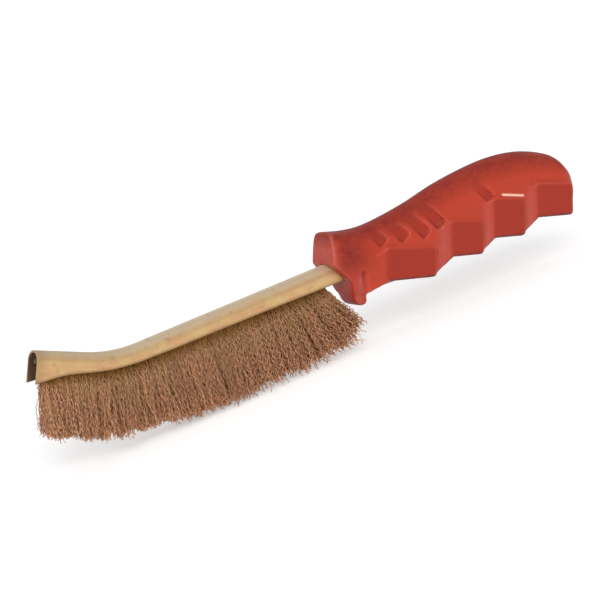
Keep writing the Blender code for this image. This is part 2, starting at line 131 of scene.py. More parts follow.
# Spread of wires and of bundles, in shares of the settings for ragged ends and stray lean
TRIM_SPREAD = (-1.5, 0.4)
BUNDLE_TRIM_SPREAD = (-2.1, 0.55)
LEAN_SPREAD = 0.9
BUNDLE_LEAN_SPREAD = 0.6
FAN_SPREAD = 0.8
BUNDLE_FAN_SPREAD = 0.5
# A few wild wires lean further, and each wire takes its own share of the fan and of the crimp
WILD_SHARE = 0.05
WILD_SPREAD = 1.6
FAN_SHARES = (0.35, 1.15)
CRIMP_SHARES = (0.6, 1.3)
# Steps between seeds, so that no two tufts draw the same numbers
SEED_STEP = 1000
TUFT_SEED_STEP = 40

# Handle: moulded in a frame of its own, which is raked down from the channel's axis
HANDLE_RAKE = math.radians(15)
HANDLE_TURN = Matrix.Rotation(HANDLE_RAKE, 4, "Y")
HANDLE_START = -0.0035
HANDLE_END = 0.1222
HANDLE_HALF_WIDTH = 0.0095
NOSE_HALF_WIDTH = 0.0078
NOSE_ROUND = 0.009
# The section grows squarer towards the nose: how far back that starts, and its strength
NOSE_SQUARE_REACH = 0.014
NOSE_SQUARE = 0.40
BUTT_HALF_WIDTH = 0.0055
BUTT_ROUND = 0.006
# Side view of the handle, each point as (place along it, height): its top and its floor
HANDLE_TOP = (
    (HANDLE_START, 0.0168),
    (0.0060, 0.0169),
    (0.0150, 0.0181),
    (0.0255, 0.0213),
    (0.0395, 0.0269),
    (0.0515, 0.0326),
    (0.0650, 0.0378),
    (0.0780, 0.0418),
    (0.0890, 0.0438),
    (0.0990, 0.0442),
    (0.1085, 0.0431),
    (0.1155, 0.0409),
    (HANDLE_END, 0.0350),
)
HANDLE_FLOOR = (
    (HANDLE_START, -0.0060),
    (0.0070, -0.0100),
    (0.0125, -0.0106),
    (0.0180, -0.0086),
    (0.0240, -0.0068),
    (0.0360, -0.0048),
    (0.0500, -0.0024),
    (0.0750, 0.0050),
    (0.0960, 0.0108),
    (0.1140, 0.0160),
    (HANDLE_END, 0.0208),
)
# Corners of the handle's section from the crown to the keel, in shares of its half width and height
SECTION = ((0.0, 1.02), (0.64, 0.92), (1.0, 0.50), (1.0, 0.22), (0.70, 0.0))
SHOULDER = SECTION[1]
BELLY = SECTION[2]
CORNER_SHARE = 0.42
SECTION_STEPS = 8
# Mean distance between the sections of the loft
STATION = 0.0009
HANDLE_SHARP_ANGLE = math.radians(50)
# The front is set back below a hood over the channel
HOOD_DROP = 0.0036
HOOD_SET_BACK = 0.0080
HOOD_REACH = 0.0088

# Finger pads: flat-sided swells under the handle, each as (start, end, underside, top)
PADS = (
    (0.0225, 0.0468, -0.0050, 0.0096),
    (0.0552, 0.0714, 0.0026, 0.0184),
    (0.0772, 0.0936, 0.0088, 0.0264),
    (0.1005, 0.1196, 0.0159, 0.0313),
)
PAD_PROUD = 0.0008
PAD_CORNER = 0.0016
PAD_TOP_CORNER = 0.0012
PAD_TOP_SLOPE = 0.065
PAD_EDGE = 0.0012
# A ramp rises to each pad from the front. It starts inside the pad before it, and inside the flank
RAMP_OVERLAP = 0.0010
RAMP_SINK = 0.0004
# The first ramp starts above the keel, and the others above the underside of the pad before them
RAMP_LIFT = 0.0012
RAMP_STEP = 0.0006
CORNER_STEPS = 4
EDGE_STEPS = 3
RIM_ANGLE = math.radians(60)

# Finger guard behind the channel's mouth
GUARD_FRONT = 0.0088
GUARD_THICKNESS = 0.0060
GUARD_HALF_WIDTH = 0.0056
GUARD_ROOT_HALF_WIDTH = 0.0094
GUARD_DROP = 0.0143
GUARD_ROUND = 0.0026
# A round relief behind the guard, on each flank, that sets it off from the first ramp
RELIEF_PLACE = 0.0115
RELIEF_RISE = -0.0072
RELIEF_LENGTH = 0.0150
RELIEF_RADIUS = 0.0014
RELIEF_LEAN = math.radians(-6)

# Grip grooves across the handle's flanks, each as (place along the handle, height, width, length)
GROOVES = (
    (0.0186, 0.0140, 0.0050, 0.0094),
    (0.0288, 0.0156, 0.0056, 0.0106),
    (0.0378, 0.0180, 0.0054, 0.0146),
    (0.0450, 0.0218, 0.0056, 0.0160),
    (0.0727, 0.0292, 0.0050, 0.0120),
)
GROOVE_DEPTH = 0.0008
GROOVE_LEAN = math.radians(44)
# Share of the flank's tilt that the grooves follow, so that they deepen downwards
GROOVE_TILT = 0.8

# Pads and grooves turn matt, and are painted darker as shade, between these distances out of the flank, and
# into it
PAD_MATT_AND_SHADE = (PAD_PROUD * 0.65, PAD_PROUD * 0.95)
GROOVE_MATT_AND_SHADE = (GROOVE_DEPTH * 0.1, GROOVE_DEPTH * 1.1)
# Painted shade on the handle's crown and on its nose, whose front gets a painted sheen
CROWN_SHADE_FADE = 0.22
NOSE_SHADE_REACH = 0.020
NOSE_SHADE_FOOT = -0.004
NOSE_SHADE_FADE = 0.008
NOSE_SHADE_SHARE = 0.6
NOSE_FRONT_FADE = 0.0030
NOSE_SHEEN_SHARE = 0.55
# Painted shade along the lower edge of the grip
UNDERSIDE_SHADE_HEIGHT = 0.0008
UNDERSIDE_SHADE_FADE = 0.0008
# Painted shade round the channel's mouth
MOUTH_SHADE = 0.00028
MOUTH_SHADE_FADE = 0.0014
# A painted sheen in a strip on the guard's sides, ahead of the relief, which starts below the handle's axis
GUARD_SHEEN_AHEAD = 0.0023
GUARD_SHEEN_HALF_WIDTH = 0.0007
GUARD_SHEEN_FADE = 0.0014
GUARD_SHEEN_DROP = 0.003
GUARD_SHEEN_SHARE = 0.7
GUARD_SHEEN_SIDE = GUARD_HALF_WIDTH * 0.9
# Convexity is the turn of the surface over this length, evened out in passes
RIDGE_LENGTH = 0.001
RIDGE_PASSES = 3
# Least square of an edge's length, which keeps the sum clear of a division by 0
LEAST_SQUARE = 1e-12

# A painted glint along the ledge on top of one pad, on the left side
GLINT_PAD = 2
GLINT_INSET = 0.0049
GLINT_END_INSET = 0.0009
GLINT_SLOPE = 0.09
GLINT_HALF_HEIGHT = 0.0002
GLINT_FADE = 0.0004

# Stage: the lens's film and near limit, the lamps, and how much whiter the floor looks than it lights
FILM_WIDTH = 36
NEAR_LIMIT = 0.01
KEY_FROM = (-0.35, -0.76, 0.55)
KEY_SOFTNESS = math.radians(40)
SIDE_FROM = (-0.93, -0.25, 0.27)
SIDE_SOFTNESS = math.radians(60)
FLOOR_GLOW = 0.38
FIBRE_CONTRAST = 1.01
WHITE = (1, 1, 1, 1)

# Place of the drawing's origin: the tang's end and the core wire's underside are known in both
ORIGIN = Vector((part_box("channel")[1].x - TANG_LENGTH, 0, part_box("core_wire")[0].z + CORE_DIAMETER / 2))


class HandleSettings(bpy.types.PropertyGroup):
    """Sizes and finish of the moulded handle."""

    voxel: FloatProperty(
        name="Mesh size", description="Size of the handle's mesh cells", default=0.00046, unit="LENGTH"
    )
    smoothing: IntProperty(name="Smoothing", description="Rounding passes over moulded edges", default=14)
    colour: FloatVectorProperty(
        name="Plastic", description="Colour of the plastic", default=(0.485, 0.0455, 0.0195), subtype="COLOR"
    )
    # Matt pads and grooves, painted darker as shade
    matt_shaded_colour: FloatVectorProperty(
        name="Matt plastic",
        description="Colour of pads and grooves",
        default=(0.365, 0.0275, 0.0108),
        subtype="COLOR",
    )
    # Wear on scratches and ridges, and a painted sheen on ridges
    wear_and_sheen_colour: FloatVectorProperty(
        name="Worn plastic",
        description="Colour of rubbed edges",
        default=(0.60, 0.11, 0.075),
        subtype="COLOR",
    )
    # Painted sheen on the nose's front, on the ramps and on the guard's sides
    sheen_colour: FloatVectorProperty(
        name="Rubbed plastic",
        description="Colour where fingers rub",
        default=(0.46, 0.13, 0.115),
        subtype="COLOR",
    )
    # A painted glint
    glint_colour: FloatVectorProperty(
        name="Scuff", description="Colour of the scuffed ledge", default=(1.0, 0.60, 0.48), subtype="COLOR"
    )
    # Specks of dirt, and painted shade in hollows, on the crown, on the nose and round the mouth
    shade_and_grime_colour: FloatVectorProperty(
        name="Grime", description="Colour of dirt in corners", default=(0.22, 0.016, 0.008), subtype="COLOR"
    )
    # Painted shade along the grip's lower edge
    underside_shade_colour: FloatVectorProperty(
        name="Soil",
        description="Colour of the grip's soiled edge",
        default=(0.09, 0.014, 0.011),
        subtype="COLOR",
    )


class ChannelSettings(bpy.types.PropertyGroup):
    """Sizes and finish of the plated channel."""

    edge_round: FloatProperty(
        name="Edge round", description="Round of the sheet's cut edges", default=0.00016, unit="LENGTH"
    )
    back_steps: IntProperty(name="Back steps", description="Facets round the channel's back", default=28)
    row_steps: IntProperty(name="Row steps", description="Facets along the channel", default=140)
    colour: FloatVectorProperty(
        name="Plating", description="Colour of the plating", default=(0.655, 0.445, 0.197), subtype="COLOR"
    )
    warm_colour: FloatVectorProperty(
        name="Warm plating",
        description="Colour of redder patches",
        default=(0.625, 0.36, 0.178),
        subtype="COLOR",
    )
    # A painted sheen along the channel's back
    wear_and_sheen_colour: FloatVectorProperty(
        name="Worn plating",
        description="Colour of the rubbed back",
        default=(0.67, 0.52, 0.345),
        subtype="COLOR",
    )
    # A painted glint along the channel's crest
    crest_glint_colour: FloatVectorProperty(
        name="Bare crest",
        description="Colour where the back is bare",
        default=(0.88, 0.73, 0.51),
        subtype="COLOR",
    )
    # Painted shade inside the channel's U
    inner_shade_colour: FloatVectorProperty(
        name="Inside",
        description="Colour of the channel's inside",
        default=(0.14, 0.095, 0.06),
        subtype="COLOR",
    )
    tarnish_colour: FloatVectorProperty(
        name="Tarnish", description="Colour of tarnished spots", default=(0.34, 0.19, 0.08), subtype="COLOR"
    )
    # Painted shade on the legs' feet
    shade_and_grime_colour: FloatVectorProperty(
        name="Grime",
        description="Colour of the legs' grimy feet",
        default=(0.17, 0.08, 0.02),
        subtype="COLOR",
    )


class CoreWireSettings(bpy.types.PropertyGroup):
    """Finish of the core wire."""

    colour: FloatVectorProperty(
        name="Steel", description="Colour of the drawn steel", default=(0.10, 0.085, 0.07), subtype="COLOR"
    )
    bright_colour: FloatVectorProperty(
        name="Bright steel",
        description="Colour of drawn streaks",
        default=(0.20, 0.175, 0.14),
        subtype="COLOR",
    )
    rust_colour: FloatVectorProperty(
        name="Rust", description="Colour of rusty spots", default=(0.16, 0.08, 0.04), subtype="COLOR"
    )


class WireSettings(bpy.types.PropertyGroup):
    """Sizes and finish of the wire fill."""

    wires: IntProperty(name="Wires", description="Wire ends in each tuft", default=260)
    points: IntProperty(name="Points", description="Points along each wire", default=23)
    diameter: FloatProperty(
        name="Wire diameter", description="Thickness of a wire", default=0.00036, unit="LENGTH"
    )
    crimp: FloatProperty(
        name="Crimp", description="Depth of the wires' zigzag", default=0.00055, unit="LENGTH"
    )
    ragged: FloatProperty(
        name="Ragged", description="Spread of the wires' length", default=0.0014, unit="LENGTH"
    )
    stray: FloatProperty(
        name="Stray", description="Spread of the wires' lean", default=math.radians(4.0), subtype="ANGLE"
    )
    seed: IntProperty(name="Seed", description="Seed of the random draws", default=7)
    # Painted shade at the wires' roots, below the channel
    root_shade_colour: FloatVectorProperty(
        name="Root", description="Colour of the wires' roots", default=(0.26, 0.105, 0.014), subtype="COLOR"
    )
    dark_colour: FloatVectorProperty(
        name="Dark wire",
        description="Colour of the darkest wires",
        default=(0.245, 0.117, 0.058),
        subtype="COLOR",
    )
    colour: FloatVectorProperty(
        name="Coppered wire", description="Colour of most wires", default=(0.81, 0.40, 0.216), subtype="COLOR"
    )
    tarnish_colour: FloatVectorProperty(
        name="Tarnish",
        description="Colour of tarnished stretches",
        default=(0.515, 0.322, 0.134),
        subtype="COLOR",
    )
    bright_colour: FloatVectorProperty(
        name="Bright wire",
        description="Colour of the brightest wires",
        default=(0.95, 0.64, 0.38),
        subtype="COLOR",
    )


class StageSettings(bpy.types.PropertyGroup):
    """Camera, lights and floor."""

    yaw: FloatProperty(
        name="Yaw", description="Turn of the camera", default=math.radians(30), subtype="ANGLE"
    )
    pitch: FloatProperty(
        name="Pitch", description="Downward tilt", default=math.radians(14), subtype="ANGLE"
    )
    roll: FloatProperty(
        name="Roll", description="Roll of the camera", default=math.radians(15), subtype="ANGLE"
    )
    distance: FloatProperty(name="Distance", description="Camera to brush", default=1.0, unit="LENGTH")
    target: FloatVectorProperty(
        name="Target",
        description="Point that the camera looks at",
        default=(-0.0067, 0.0060, 0.0267),
        subtype="XYZ",
    )
    lens: FloatProperty(name="Lens", description="Focal length in millimetres", default=147.0, unit="CAMERA")
    floor_size: FloatProperty(name="Floor", description="Side of the floor", default=12.0, unit="LENGTH")
    floor_colour: FloatVectorProperty(
        name="Floor colour", description="Colour of the floor", default=(0.80, 0.80, 0.80), subtype="COLOR"
    )
    sky: FloatProperty(name="Sky", description="Strength of the even light", default=0.52)
    key: FloatProperty(name="Key", description="Strength of the key light", default=1.8)
    side: FloatProperty(name="Side", description="Strength of the light from the head", default=0.6)


def mesh_object(name, bm):
    """An object that holds the bmesh, with its faces pointing out."""
    bmesh.ops.recalc_face_normals(bm, faces=bm.faces)
    mesh = bpy.data.meshes.new(name)
    bm.to_mesh(mesh)
    bm.free()
    obj = bpy.data.objects.new(name, mesh)
    bpy.context.scene.collection.objects.link(obj)
    return obj


def baked(obj):
    """The object's evaluated mesh as a plain one, with the object's modifiers removed."""
    graph = bpy.context.evaluated_depsgraph_get()
    mesh = bpy.data.meshes.new_from_object(obj.evaluated_get(graph))
    obj.modifiers.clear()
    obj.data = mesh
    mesh.name = obj.name
    return mesh


def combine(target, helper, operation):
    """Joins the helper to the target, or cuts it away."""
    helper.hide_render = True
    boolean = target.modifiers.new(helper.name, "BOOLEAN")
    boolean.operation = operation
    boolean.object = helper


def round_off(bm, edges, radius, steps):
    """Rounds the edges off."""
    bmesh.ops.bevel(bm, geom=edges, offset=radius, segments=steps, profile=0.5, affect="EDGES")


def dress(mesh, material):
    """Gives the whole mesh one finish."""
    mesh.materials.clear()
    mesh.materials.append(material)


def vertex_places(mesh):
    """The places of the mesh's vertices, one row for each."""
    places = np.empty(len(mesh.vertices) * 3)
    mesh.vertices.foreach_get("co", places)
    return places.reshape(-1, 3)


def store(mesh, name, values):
    """Stores a number at each vertex, for the finish."""
    mesh.attributes.new(name, "FLOAT", "POINT").data.foreach_set("value", values)


def smooth_through(points):
    """A smooth function of x through the points, which holds its last values past both ends."""
    xs = [x for x, _ in points]
    ys = [y for _, y in points]
    last = len(points) - 1
    slopes = []
    for i in range(last + 1):
        low, high = max(i - 1, 0), min(i + 1, last)
        slopes.append((ys[high] - ys[low]) / (xs[high] - xs[low]))

    def value(x):
        x = min(max(x, xs[0]), xs[-1])
        i = max(k for k in range(last) if xs[k] <= x)
        span = xs[i + 1] - xs[i]
        t = (x - xs[i]) / span
        rise = ys[i] * (1 + 2 * t) * (1 - t) ** 2 + ys[i + 1] * t * t * (3 - 2 * t)
        return rise + span * (slopes[i] * t * (1 - t) ** 2 - slopes[i + 1] * t * t * (1 - t))

    return value


def clamped(share):
    """The share, held between 0 and 1."""
    return min(max(share, 0), 1)


def axis_frame(run):
    """The frame on the channel's axis, run metres from the handle: local X to the head, Z to the back."""
    bend = min(max((run - STRAIGHT_RUN) / BEND_RADIUS, 0), BEND_ANGLE)
    past = max(run - STRAIGHT_RUN - BEND_RADIUS * BEND_ANGLE, 0)
    reach = min(run, STRAIGHT_RUN) + BEND_RADIUS * math.sin(bend) + past * math.cos(bend)
    rise = BEND_RADIUS * (1 - math.cos(bend)) + past * math.sin(bend)
    turn = Matrix.Rotation(math.pi, 4, "Z") @ Matrix.Rotation(-bend, 4, "Y")
    return Matrix.Translation((-reach, 0, rise)) @ turn


# Lines that the pieces follow: the legs' reach below the axis, and the handle's top and floor
leg_depth = smooth_through(LEG_LINE)
top_of = smooth_through(HANDLE_TOP)
floor_of = smooth_through(HANDLE_FLOOR)


# Nodes

def add(tree, kind, **properties):
    """A node of that kind, with its properties set."""
    node = tree.nodes.new(kind)
    for name, value in properties.items():
        setattr(node, name, value)
    return node


def feed(tree, socket, value):
    """Links a socket's value, or sets a constant one."""
    if isinstance(value, Number):
        value = value.socket
    if isinstance(value, bpy.types.NodeSocket):
        tree.links.new(value, socket)
    else:
        socket.default_value = value


def output_of(tree, kind, inputs, **properties):
    """The first output of a new node, with its named inputs fed."""
    node = add(tree, kind, **properties)
    for name, value in inputs.items():
        feed(tree, node.inputs[name], value)
    return node.outputs[0]


class Number:
    """A number in a node tree, which takes part in sums as a plain number does."""

    def __init__(self, socket):
        self.socket = socket
        self.tree = socket.id_data

    def math(self, operation, *others):
        """The result of a Math node on this number and the others."""
        node = add(self.tree, "ShaderNodeMath", operation=operation)
        for socket, value in zip(node.inputs, (self, *others)):
            feed(self.tree, socket, value)
        return Number(node.outputs[0])

    def __add__(self, other):
        return self.math("ADD", other)

    def __sub__(self, other):
        return self.math("SUBTRACT", other)

    def __rsub__(self, other):
        return self.math("MULTIPLY_ADD", -1.0, other)

    def __mul__(self, other):
        return self.math("MULTIPLY", other)

    def __truediv__(self, other):
        return self.math("DIVIDE", other)

    def held(self):
        """The same number, held between 0 and 1 by the Math node that gives it."""
        self.socket.node.use_clamp = True
        return self

    def mapped(self, low, high, to_low=0.0, to_high=1.0):
        """The number mapped from one range to another, and held in it."""
        node = add(self.tree, "ShaderNodeMapRange", clamp=True)
        for socket, value in zip(node.inputs, (self, low, high, to_low, to_high)):
            feed(self.tree, socket, value)
        return Number(node.outputs[0])

    def blend(self, first, second):
        """A colour between two, by this share. Each is a socket or a plain colour."""
        node = add(self.tree, "ShaderNodeMix", data_type="RGBA")
        feed(self.tree, node.inputs["Factor"], self)
        for socket, colour in zip(node.inputs[6:8], (first, second)):
            plain = not isinstance(colour, bpy.types.NodeSocket)
            feed(self.tree, socket, (*colour, 1.0) if plain else colour)
        return node.outputs[2]


def noise(tree, place, scale, detail, roughness=0.5):
    """A noise value at that place."""
    inputs = {"Vector": place, "Scale": scale, "Detail": detail, "Roughness": roughness}
    return Number(output_of(tree, "ShaderNodeTexNoise", inputs))


def streaks(tree, place, scales, detail, roughness=0.5):
    """A noise value with its own scale along each axis."""
    stretched = output_of(tree, "ShaderNodeMapping", {"Vector": place, "Scale": scales})
    return noise(tree, stretched, 1.0, detail, roughness)


def object_place(tree):
    """The place on the piece, in its own coordinates."""
    return add(tree, "ShaderNodeTexCoord").outputs["Object"]


def attribute(tree, name):
    """A number that the mesh holds."""
    return Number(add(tree, "ShaderNodeAttribute", attribute_name=name).outputs["Fac"])


def parts_of(tree, vector):
    """The X, Y and Z of a vector."""
    node = add(tree, "ShaderNodeSeparateXYZ")
    feed(tree, node.inputs[0], vector)
    return [Number(socket) for socket in node.outputs]


def new_finish(name):
    """A new material, its tree and its shader."""
    material = bpy.data.materials.new(name)
    material.use_nodes = True
    tree = material.node_tree
    return material, tree, tree.nodes["Principled BSDF"]


def raise_surface(tree, shader, height, distance, strength):
    """Bump from a height between 0 and 1."""
    inputs = {"Strength": strength, "Distance": distance, "Height": height}
    feed(tree, shader.inputs["Normal"], output_of(tree, "ShaderNodeBump", inputs))


# Handle

def rounded(distance, radius):
    """Share of full size that is left, distance metres from a rounded end."""
    return math.sqrt(1 - (1 - clamped(distance / radius)) ** 2)


def half_width_of(place):
    """Half width of the handle at a place along it, drawn in at both rounded ends."""
    nose = (HANDLE_HALF_WIDTH - NOSE_HALF_WIDTH) * (1 - rounded(place - HANDLE_START, NOSE_ROUND))
    butt = (HANDLE_HALF_WIDTH - BUTT_HALF_WIDTH) * (1 - rounded(HANDLE_END - place, BUTT_ROUND))
    return HANDLE_HALF_WIDTH - nose - butt


def flank_of(place, rise):
    """Half width of the handle at a height on its flank, before its corners are rounded."""
    share = (rise - floor_of(place)) / (top_of(place) - floor_of(place))
    drawn_in = clamped((share - BELLY[1]) / (SHOULDER[1] - BELLY[1]))
    return half_width_of(place) * (BELLY[0] + (SHOULDER[0] - BELLY[0]) * drawn_in)


def section_outline():
    """Rounded outline of the handle's section, in shares of its half width and height."""
    half = [Vector(corner) for corner in SECTION]
    corners = half + [Vector((-corner.x, corner.y)) for corner in half[:0:-1]]
    outline = []
    for i, corner in enumerate(corners):
        before = corner.lerp(corners[i - 1], CORNER_SHARE)
        after = corner.lerp(corners[(i + 1) % len(corners)], CORNER_SHARE)
        for step in range(SECTION_STEPS + 1):
            t = step / SECTION_STEPS
            outline.append(before.lerp(corner, t).lerp(corner.lerp(after, t), t))
    return outline


def squared(point, place):
    """A point of the section's outline, pushed out towards a square at the nose."""
    share = NOSE_SQUARE * clamped(1 - (place - HANDLE_START) / NOSE_SQUARE_REACH)
    above = clamped((point.y - BELLY[1]) / (1 - BELLY[1]))
    wide = math.copysign(abs(point.x) ** (1 - share), point.x)
    return Vector((wide, point.y + share * above * max(1 - point.y, 0)))


def handle_body():
    """The body of the handle, lofted through rounded sections."""
    bm = bmesh.new()
    outline = section_outline()
    count = math.ceil((HANDLE_END - HANDLE_START) / STATION)
    rings = []
    for i in range(count + 1):
        # Stations crowd at both rounded ends
        share = (1 - math.cos(math.pi * i / count)) / 2
        place = HANDLE_START + (HANDLE_END - HANDLE_START) * share
        floor, height = floor_of(place), top_of(place) - floor_of(place)
        width = half_width_of(place)
        ring = [squared(point, place) for point in outline]
        rings.append([bm.verts.new((place, width * p.x, floor + height * p.y)) for p in ring])
    for ring, following in zip(rings, rings[1:]):
        for i in range(len(ring)):
            j = (i + 1) % len(ring)
            bm.faces.new((ring[i], ring[j], following[j], following[i]))
    bm.faces.new(rings[0])
    bm.faces.new(rings[-1])
    return mesh_object("moulded_handle", bm)


def rounded_block(name, size, centre, corner, edge):
    """A block with round corners in side view and a small round along its side faces."""
    bm = bmesh.new()
    bmesh.ops.create_cube(bm, size=1)
    bmesh.ops.scale(bm, vec=size, verts=bm.verts)
    crosswise = [e for e in bm.edges if abs(e.verts[0].co.y - e.verts[1].co.y) > FIT]
    round_off(bm, crosswise, corner, CORNER_STEPS)
    rim = [e for e in bm.edges if abs(abs(e.verts[0].co.y + e.verts[1].co.y) - size[1]) < SAME]
    round_off(bm, rim, edge, EDGE_STEPS)
    bmesh.ops.translate(bm, verts=bm.verts, vec=centre)
    return mesh_object(name, bm)


def prism(name, outline, reach):
    """A block with that outline in side view, which reaches as far to both sides."""
    bm = bmesh.new()
    face = bm.faces.new([bm.verts.new((x, -reach, z)) for x, z in outline])
    grown = bmesh.ops.extrude_face_region(bm, geom=[face])["geom"]
    moved = [item for item in grown if isinstance(item, bmesh.types.BMVert)]
    bmesh.ops.translate(bm, verts=moved, vec=(0, 2 * reach, 0))
    return mesh_object(name, bm)


def finger_pad(name, front, foot, start, end, underside, top):
    """A flat-sided swell that a finger lies behind, with a ramp that rises to it from the front."""
    bm = bmesh.new()
    wide = HANDLE_HALF_WIDTH + PAD_PROUD
    middle = (top + underside) / 2
    belly = floor_of(front) + BELLY[1] * (top_of(front) - floor_of(front))
    bmesh.ops.create_cube(bm, size=1)
    bmesh.ops.scale(bm, vec=(end - front, 2 * wide, top - underside), verts=bm.verts)
    bmesh.ops.translate(bm, vec=((end + front) / 2, 0, middle), verts=bm.verts)
    everything = bm.verts[:] + bm.edges[:] + bm.faces[:]
    bmesh.ops.bisect_plane(bm, geom=everything, plane_co=(start, 0, 0), plane_no=(1, 0, 0))
    for vertex in bm.verts:
        upper = vertex.co.z > middle
        if vertex.co.x < start - FIT:
            vertex.co.y = math.copysign(HANDLE_HALF_WIDTH - RAMP_SINK, vertex.co.y)
            vertex.co.z = belly if upper else foot
        elif upper:
            vertex.co.z -= PAD_TOP_SLOPE * (vertex.co.x - start)
    for upper, corner in ((False, PAD_CORNER), (True, PAD_TOP_CORNER)):
        across = [
            edge
            for edge in bm.edges
            if all(v.co.x > end - SAME and (v.co.z > middle) == upper for v in edge.verts)
        ]
        round_off(bm, across, corner, CORNER_STEPS)
    rim = []
    for edge in bm.edges:
        outside = all(abs(abs(v.co.y) - wide) < SAME for v in edge.verts)
        if outside and edge.calc_face_angle() > RIM_ANGLE:
            rim.append(edge)
    round_off(bm, rim, PAD_EDGE, EDGE_STEPS)
    return mesh_object(name, bm)


def ramp_starts():
    """Where each ramp starts, as (place, height): in the guard, or just inside the pad before it."""
    front = GUARD_FRONT + GUARD_THICKNESS / 2
    starts = [(front, floor_of(front) + RAMP_LIFT)]
    return starts + [(end - RAMP_OVERLAP, underside + RAMP_STEP) for _, end, underside, _ in PADS[:-1]]


def finger_pads():
    """The swells that the fingers lie between."""
    pairs = zip(ramp_starts(), PADS)
    return [finger_pad(f"finger_pad_{i}", *start, *pad) for i, (start, pad) in enumerate(pairs, 1)]


def underside_outline():
    """Side view of the grip's underside: flat under each pad, and slanted before the next one."""
    return [(x, underside) for start, end, underside, _ in PADS for x in (start, end)]


def keel_cut():
    """A block that cuts the keel flush with the undersides of the pads, and slanted before each of them."""
    reach = HANDLE_HALF_WIDTH * 2
    outline = underside_outline()[1:]
    low = outline[0][1] - reach
    outline += [(outline[-1][0], low), (outline[0][0], low)]
    return prism("keel_cut", outline, reach)


def finger_guard():
    """The fin below the channel's mouth that keeps the fingers off the wires."""
    size = (GUARD_THICKNESS, 2 * GUARD_HALF_WIDTH, GUARD_DROP)
    centre = (GUARD_FRONT + GUARD_THICKNESS / 2, 0, -GUARD_DROP / 2)
    guard = rounded_block("finger_guard", size, centre, GUARD_ROUND, GUARD_ROUND / 2)
    # It widens upwards, and its front keeps just behind the slanted front of the handle
    slant = (GUARD_FRONT - HANDLE_START - HOOD_REACH) / (GUARD_DROP + HOOD_DROP - HOOD_SET_BACK)
    for vertex in guard.data.vertices:
        rise = GUARD_DROP + vertex.co.z
        vertex.co.x += FIT - slant * rise
        vertex.co.y *= 1 + (GUARD_ROOT_HALF_WIDTH / GUARD_HALF_WIDTH - 1) * rise / GUARD_DROP
    return guard


def grip_grooves():
    """Slanted blocks that cut the grip grooves, in both flanks of the handle."""
    bm = bmesh.new()
    for place, rise, width, length in GROOVES:
        out = flank_of(place, rise)
        above = (SHOULDER[1] - BELLY[1]) * (top_of(place) - floor_of(place))
        tilt = math.atan2((BELLY[0] - SHOULDER[0]) * half_width_of(place), above)
        for side in (-1, 1):
            slot = bmesh.ops.create_cube(bm, size=1)["verts"]
            bmesh.ops.scale(bm, vec=(width, 2 * GROOVE_DEPTH, length), verts=slot)
            turn = Matrix.Rotation(side * tilt * GROOVE_TILT, 4, "X") @ Matrix.Rotation(-GROOVE_LEAN, 4, "Y")
            place_it = Matrix.Translation((place, side * out, rise)) @ turn
            bmesh.ops.transform(bm, matrix=place_it, verts=slot)
    return mesh_object("grip_grooves", bm)


def guard_relief():
    """Rods that cut the relief behind the guard, in both flanks of the handle."""
    bm = bmesh.new()
    for side in (-1, 1):
        rod = bmesh.ops.create_cone(
            bm,
            cap_ends=True,
            segments=CORNER_STEPS * 4,
            radius1=RELIEF_RADIUS,
            radius2=RELIEF_RADIUS,
            depth=RELIEF_LENGTH,
        )["verts"]
        place_it = Matrix.Translation((RELIEF_PLACE, side * HANDLE_HALF_WIDTH, RELIEF_RISE))
        turn = Matrix.Rotation(RELIEF_LEAN, 4, "Y")
        bmesh.ops.transform(bm, matrix=place_it @ turn, verts=rod)
    return mesh_object("guard_relief", bm)


def hood_cut():
    """A wedge that sets the handle's front back below the hood over the channel."""
    reach = HANDLE_HALF_WIDTH * 2
    front = HANDLE_START - reach
    outline = (
        (front, HOOD_DROP),
        (HANDLE_START, HOOD_DROP),
        (HANDLE_START + HOOD_REACH, HOOD_DROP - HOOD_SET_BACK),
        (GUARD_FRONT, -GUARD_DROP),
        (GUARD_FRONT, -reach),
        (front, -reach),
    )
    return prism("hood_cut", outline, reach)


def store_ridges(mesh):
    """Stores how convex the surface is at each vertex, as the turn of its normal over a millimetre."""
    count = len(mesh.vertices)
    places = vertex_places(mesh)
    normals = np.empty(count * 3)
    ends = np.empty(len(mesh.edges) * 2, dtype=np.int64)
    mesh.vertex_normals.foreach_get("vector", normals)
    mesh.edges.foreach_get("vertices", ends)
    normals, ends = normals.reshape(-1, 3), ends.reshape(-1, 2)
    step = places[ends[:, 1]] - places[ends[:, 0]]
    turn = normals[ends[:, 1]] - normals[ends[:, 0]]
    bend = (step * turn).sum(1) / np.maximum((step**2).sum(1), LEAST_SQUARE) * RIDGE_LENGTH
    degree = np.bincount(ends.ravel(), minlength=count)
    ridge = np.bincount(ends.ravel(), np.repeat(bend, 2), count) / degree
    for _ in range(RIDGE_PASSES):
        around = np.bincount(ends[:, 0], ridge[ends[:, 1]], count)
        around += np.bincount(ends[:, 1], ridge[ends[:, 0]], count)
        ridge = (ridge + around / degree) / 2
    store(mesh, "ridge", ridge)


def rising(values, low, high):
    """0 up to the low value, and 1 from the high one."""
    return np.clip((values - low) / (high - low), 0, 1)


def fading(distances, full, fade):
    """1 up to the full distance, and then down to 0 over the fade."""
    return np.clip(1 + (full - distances) / fade, 0, 1)


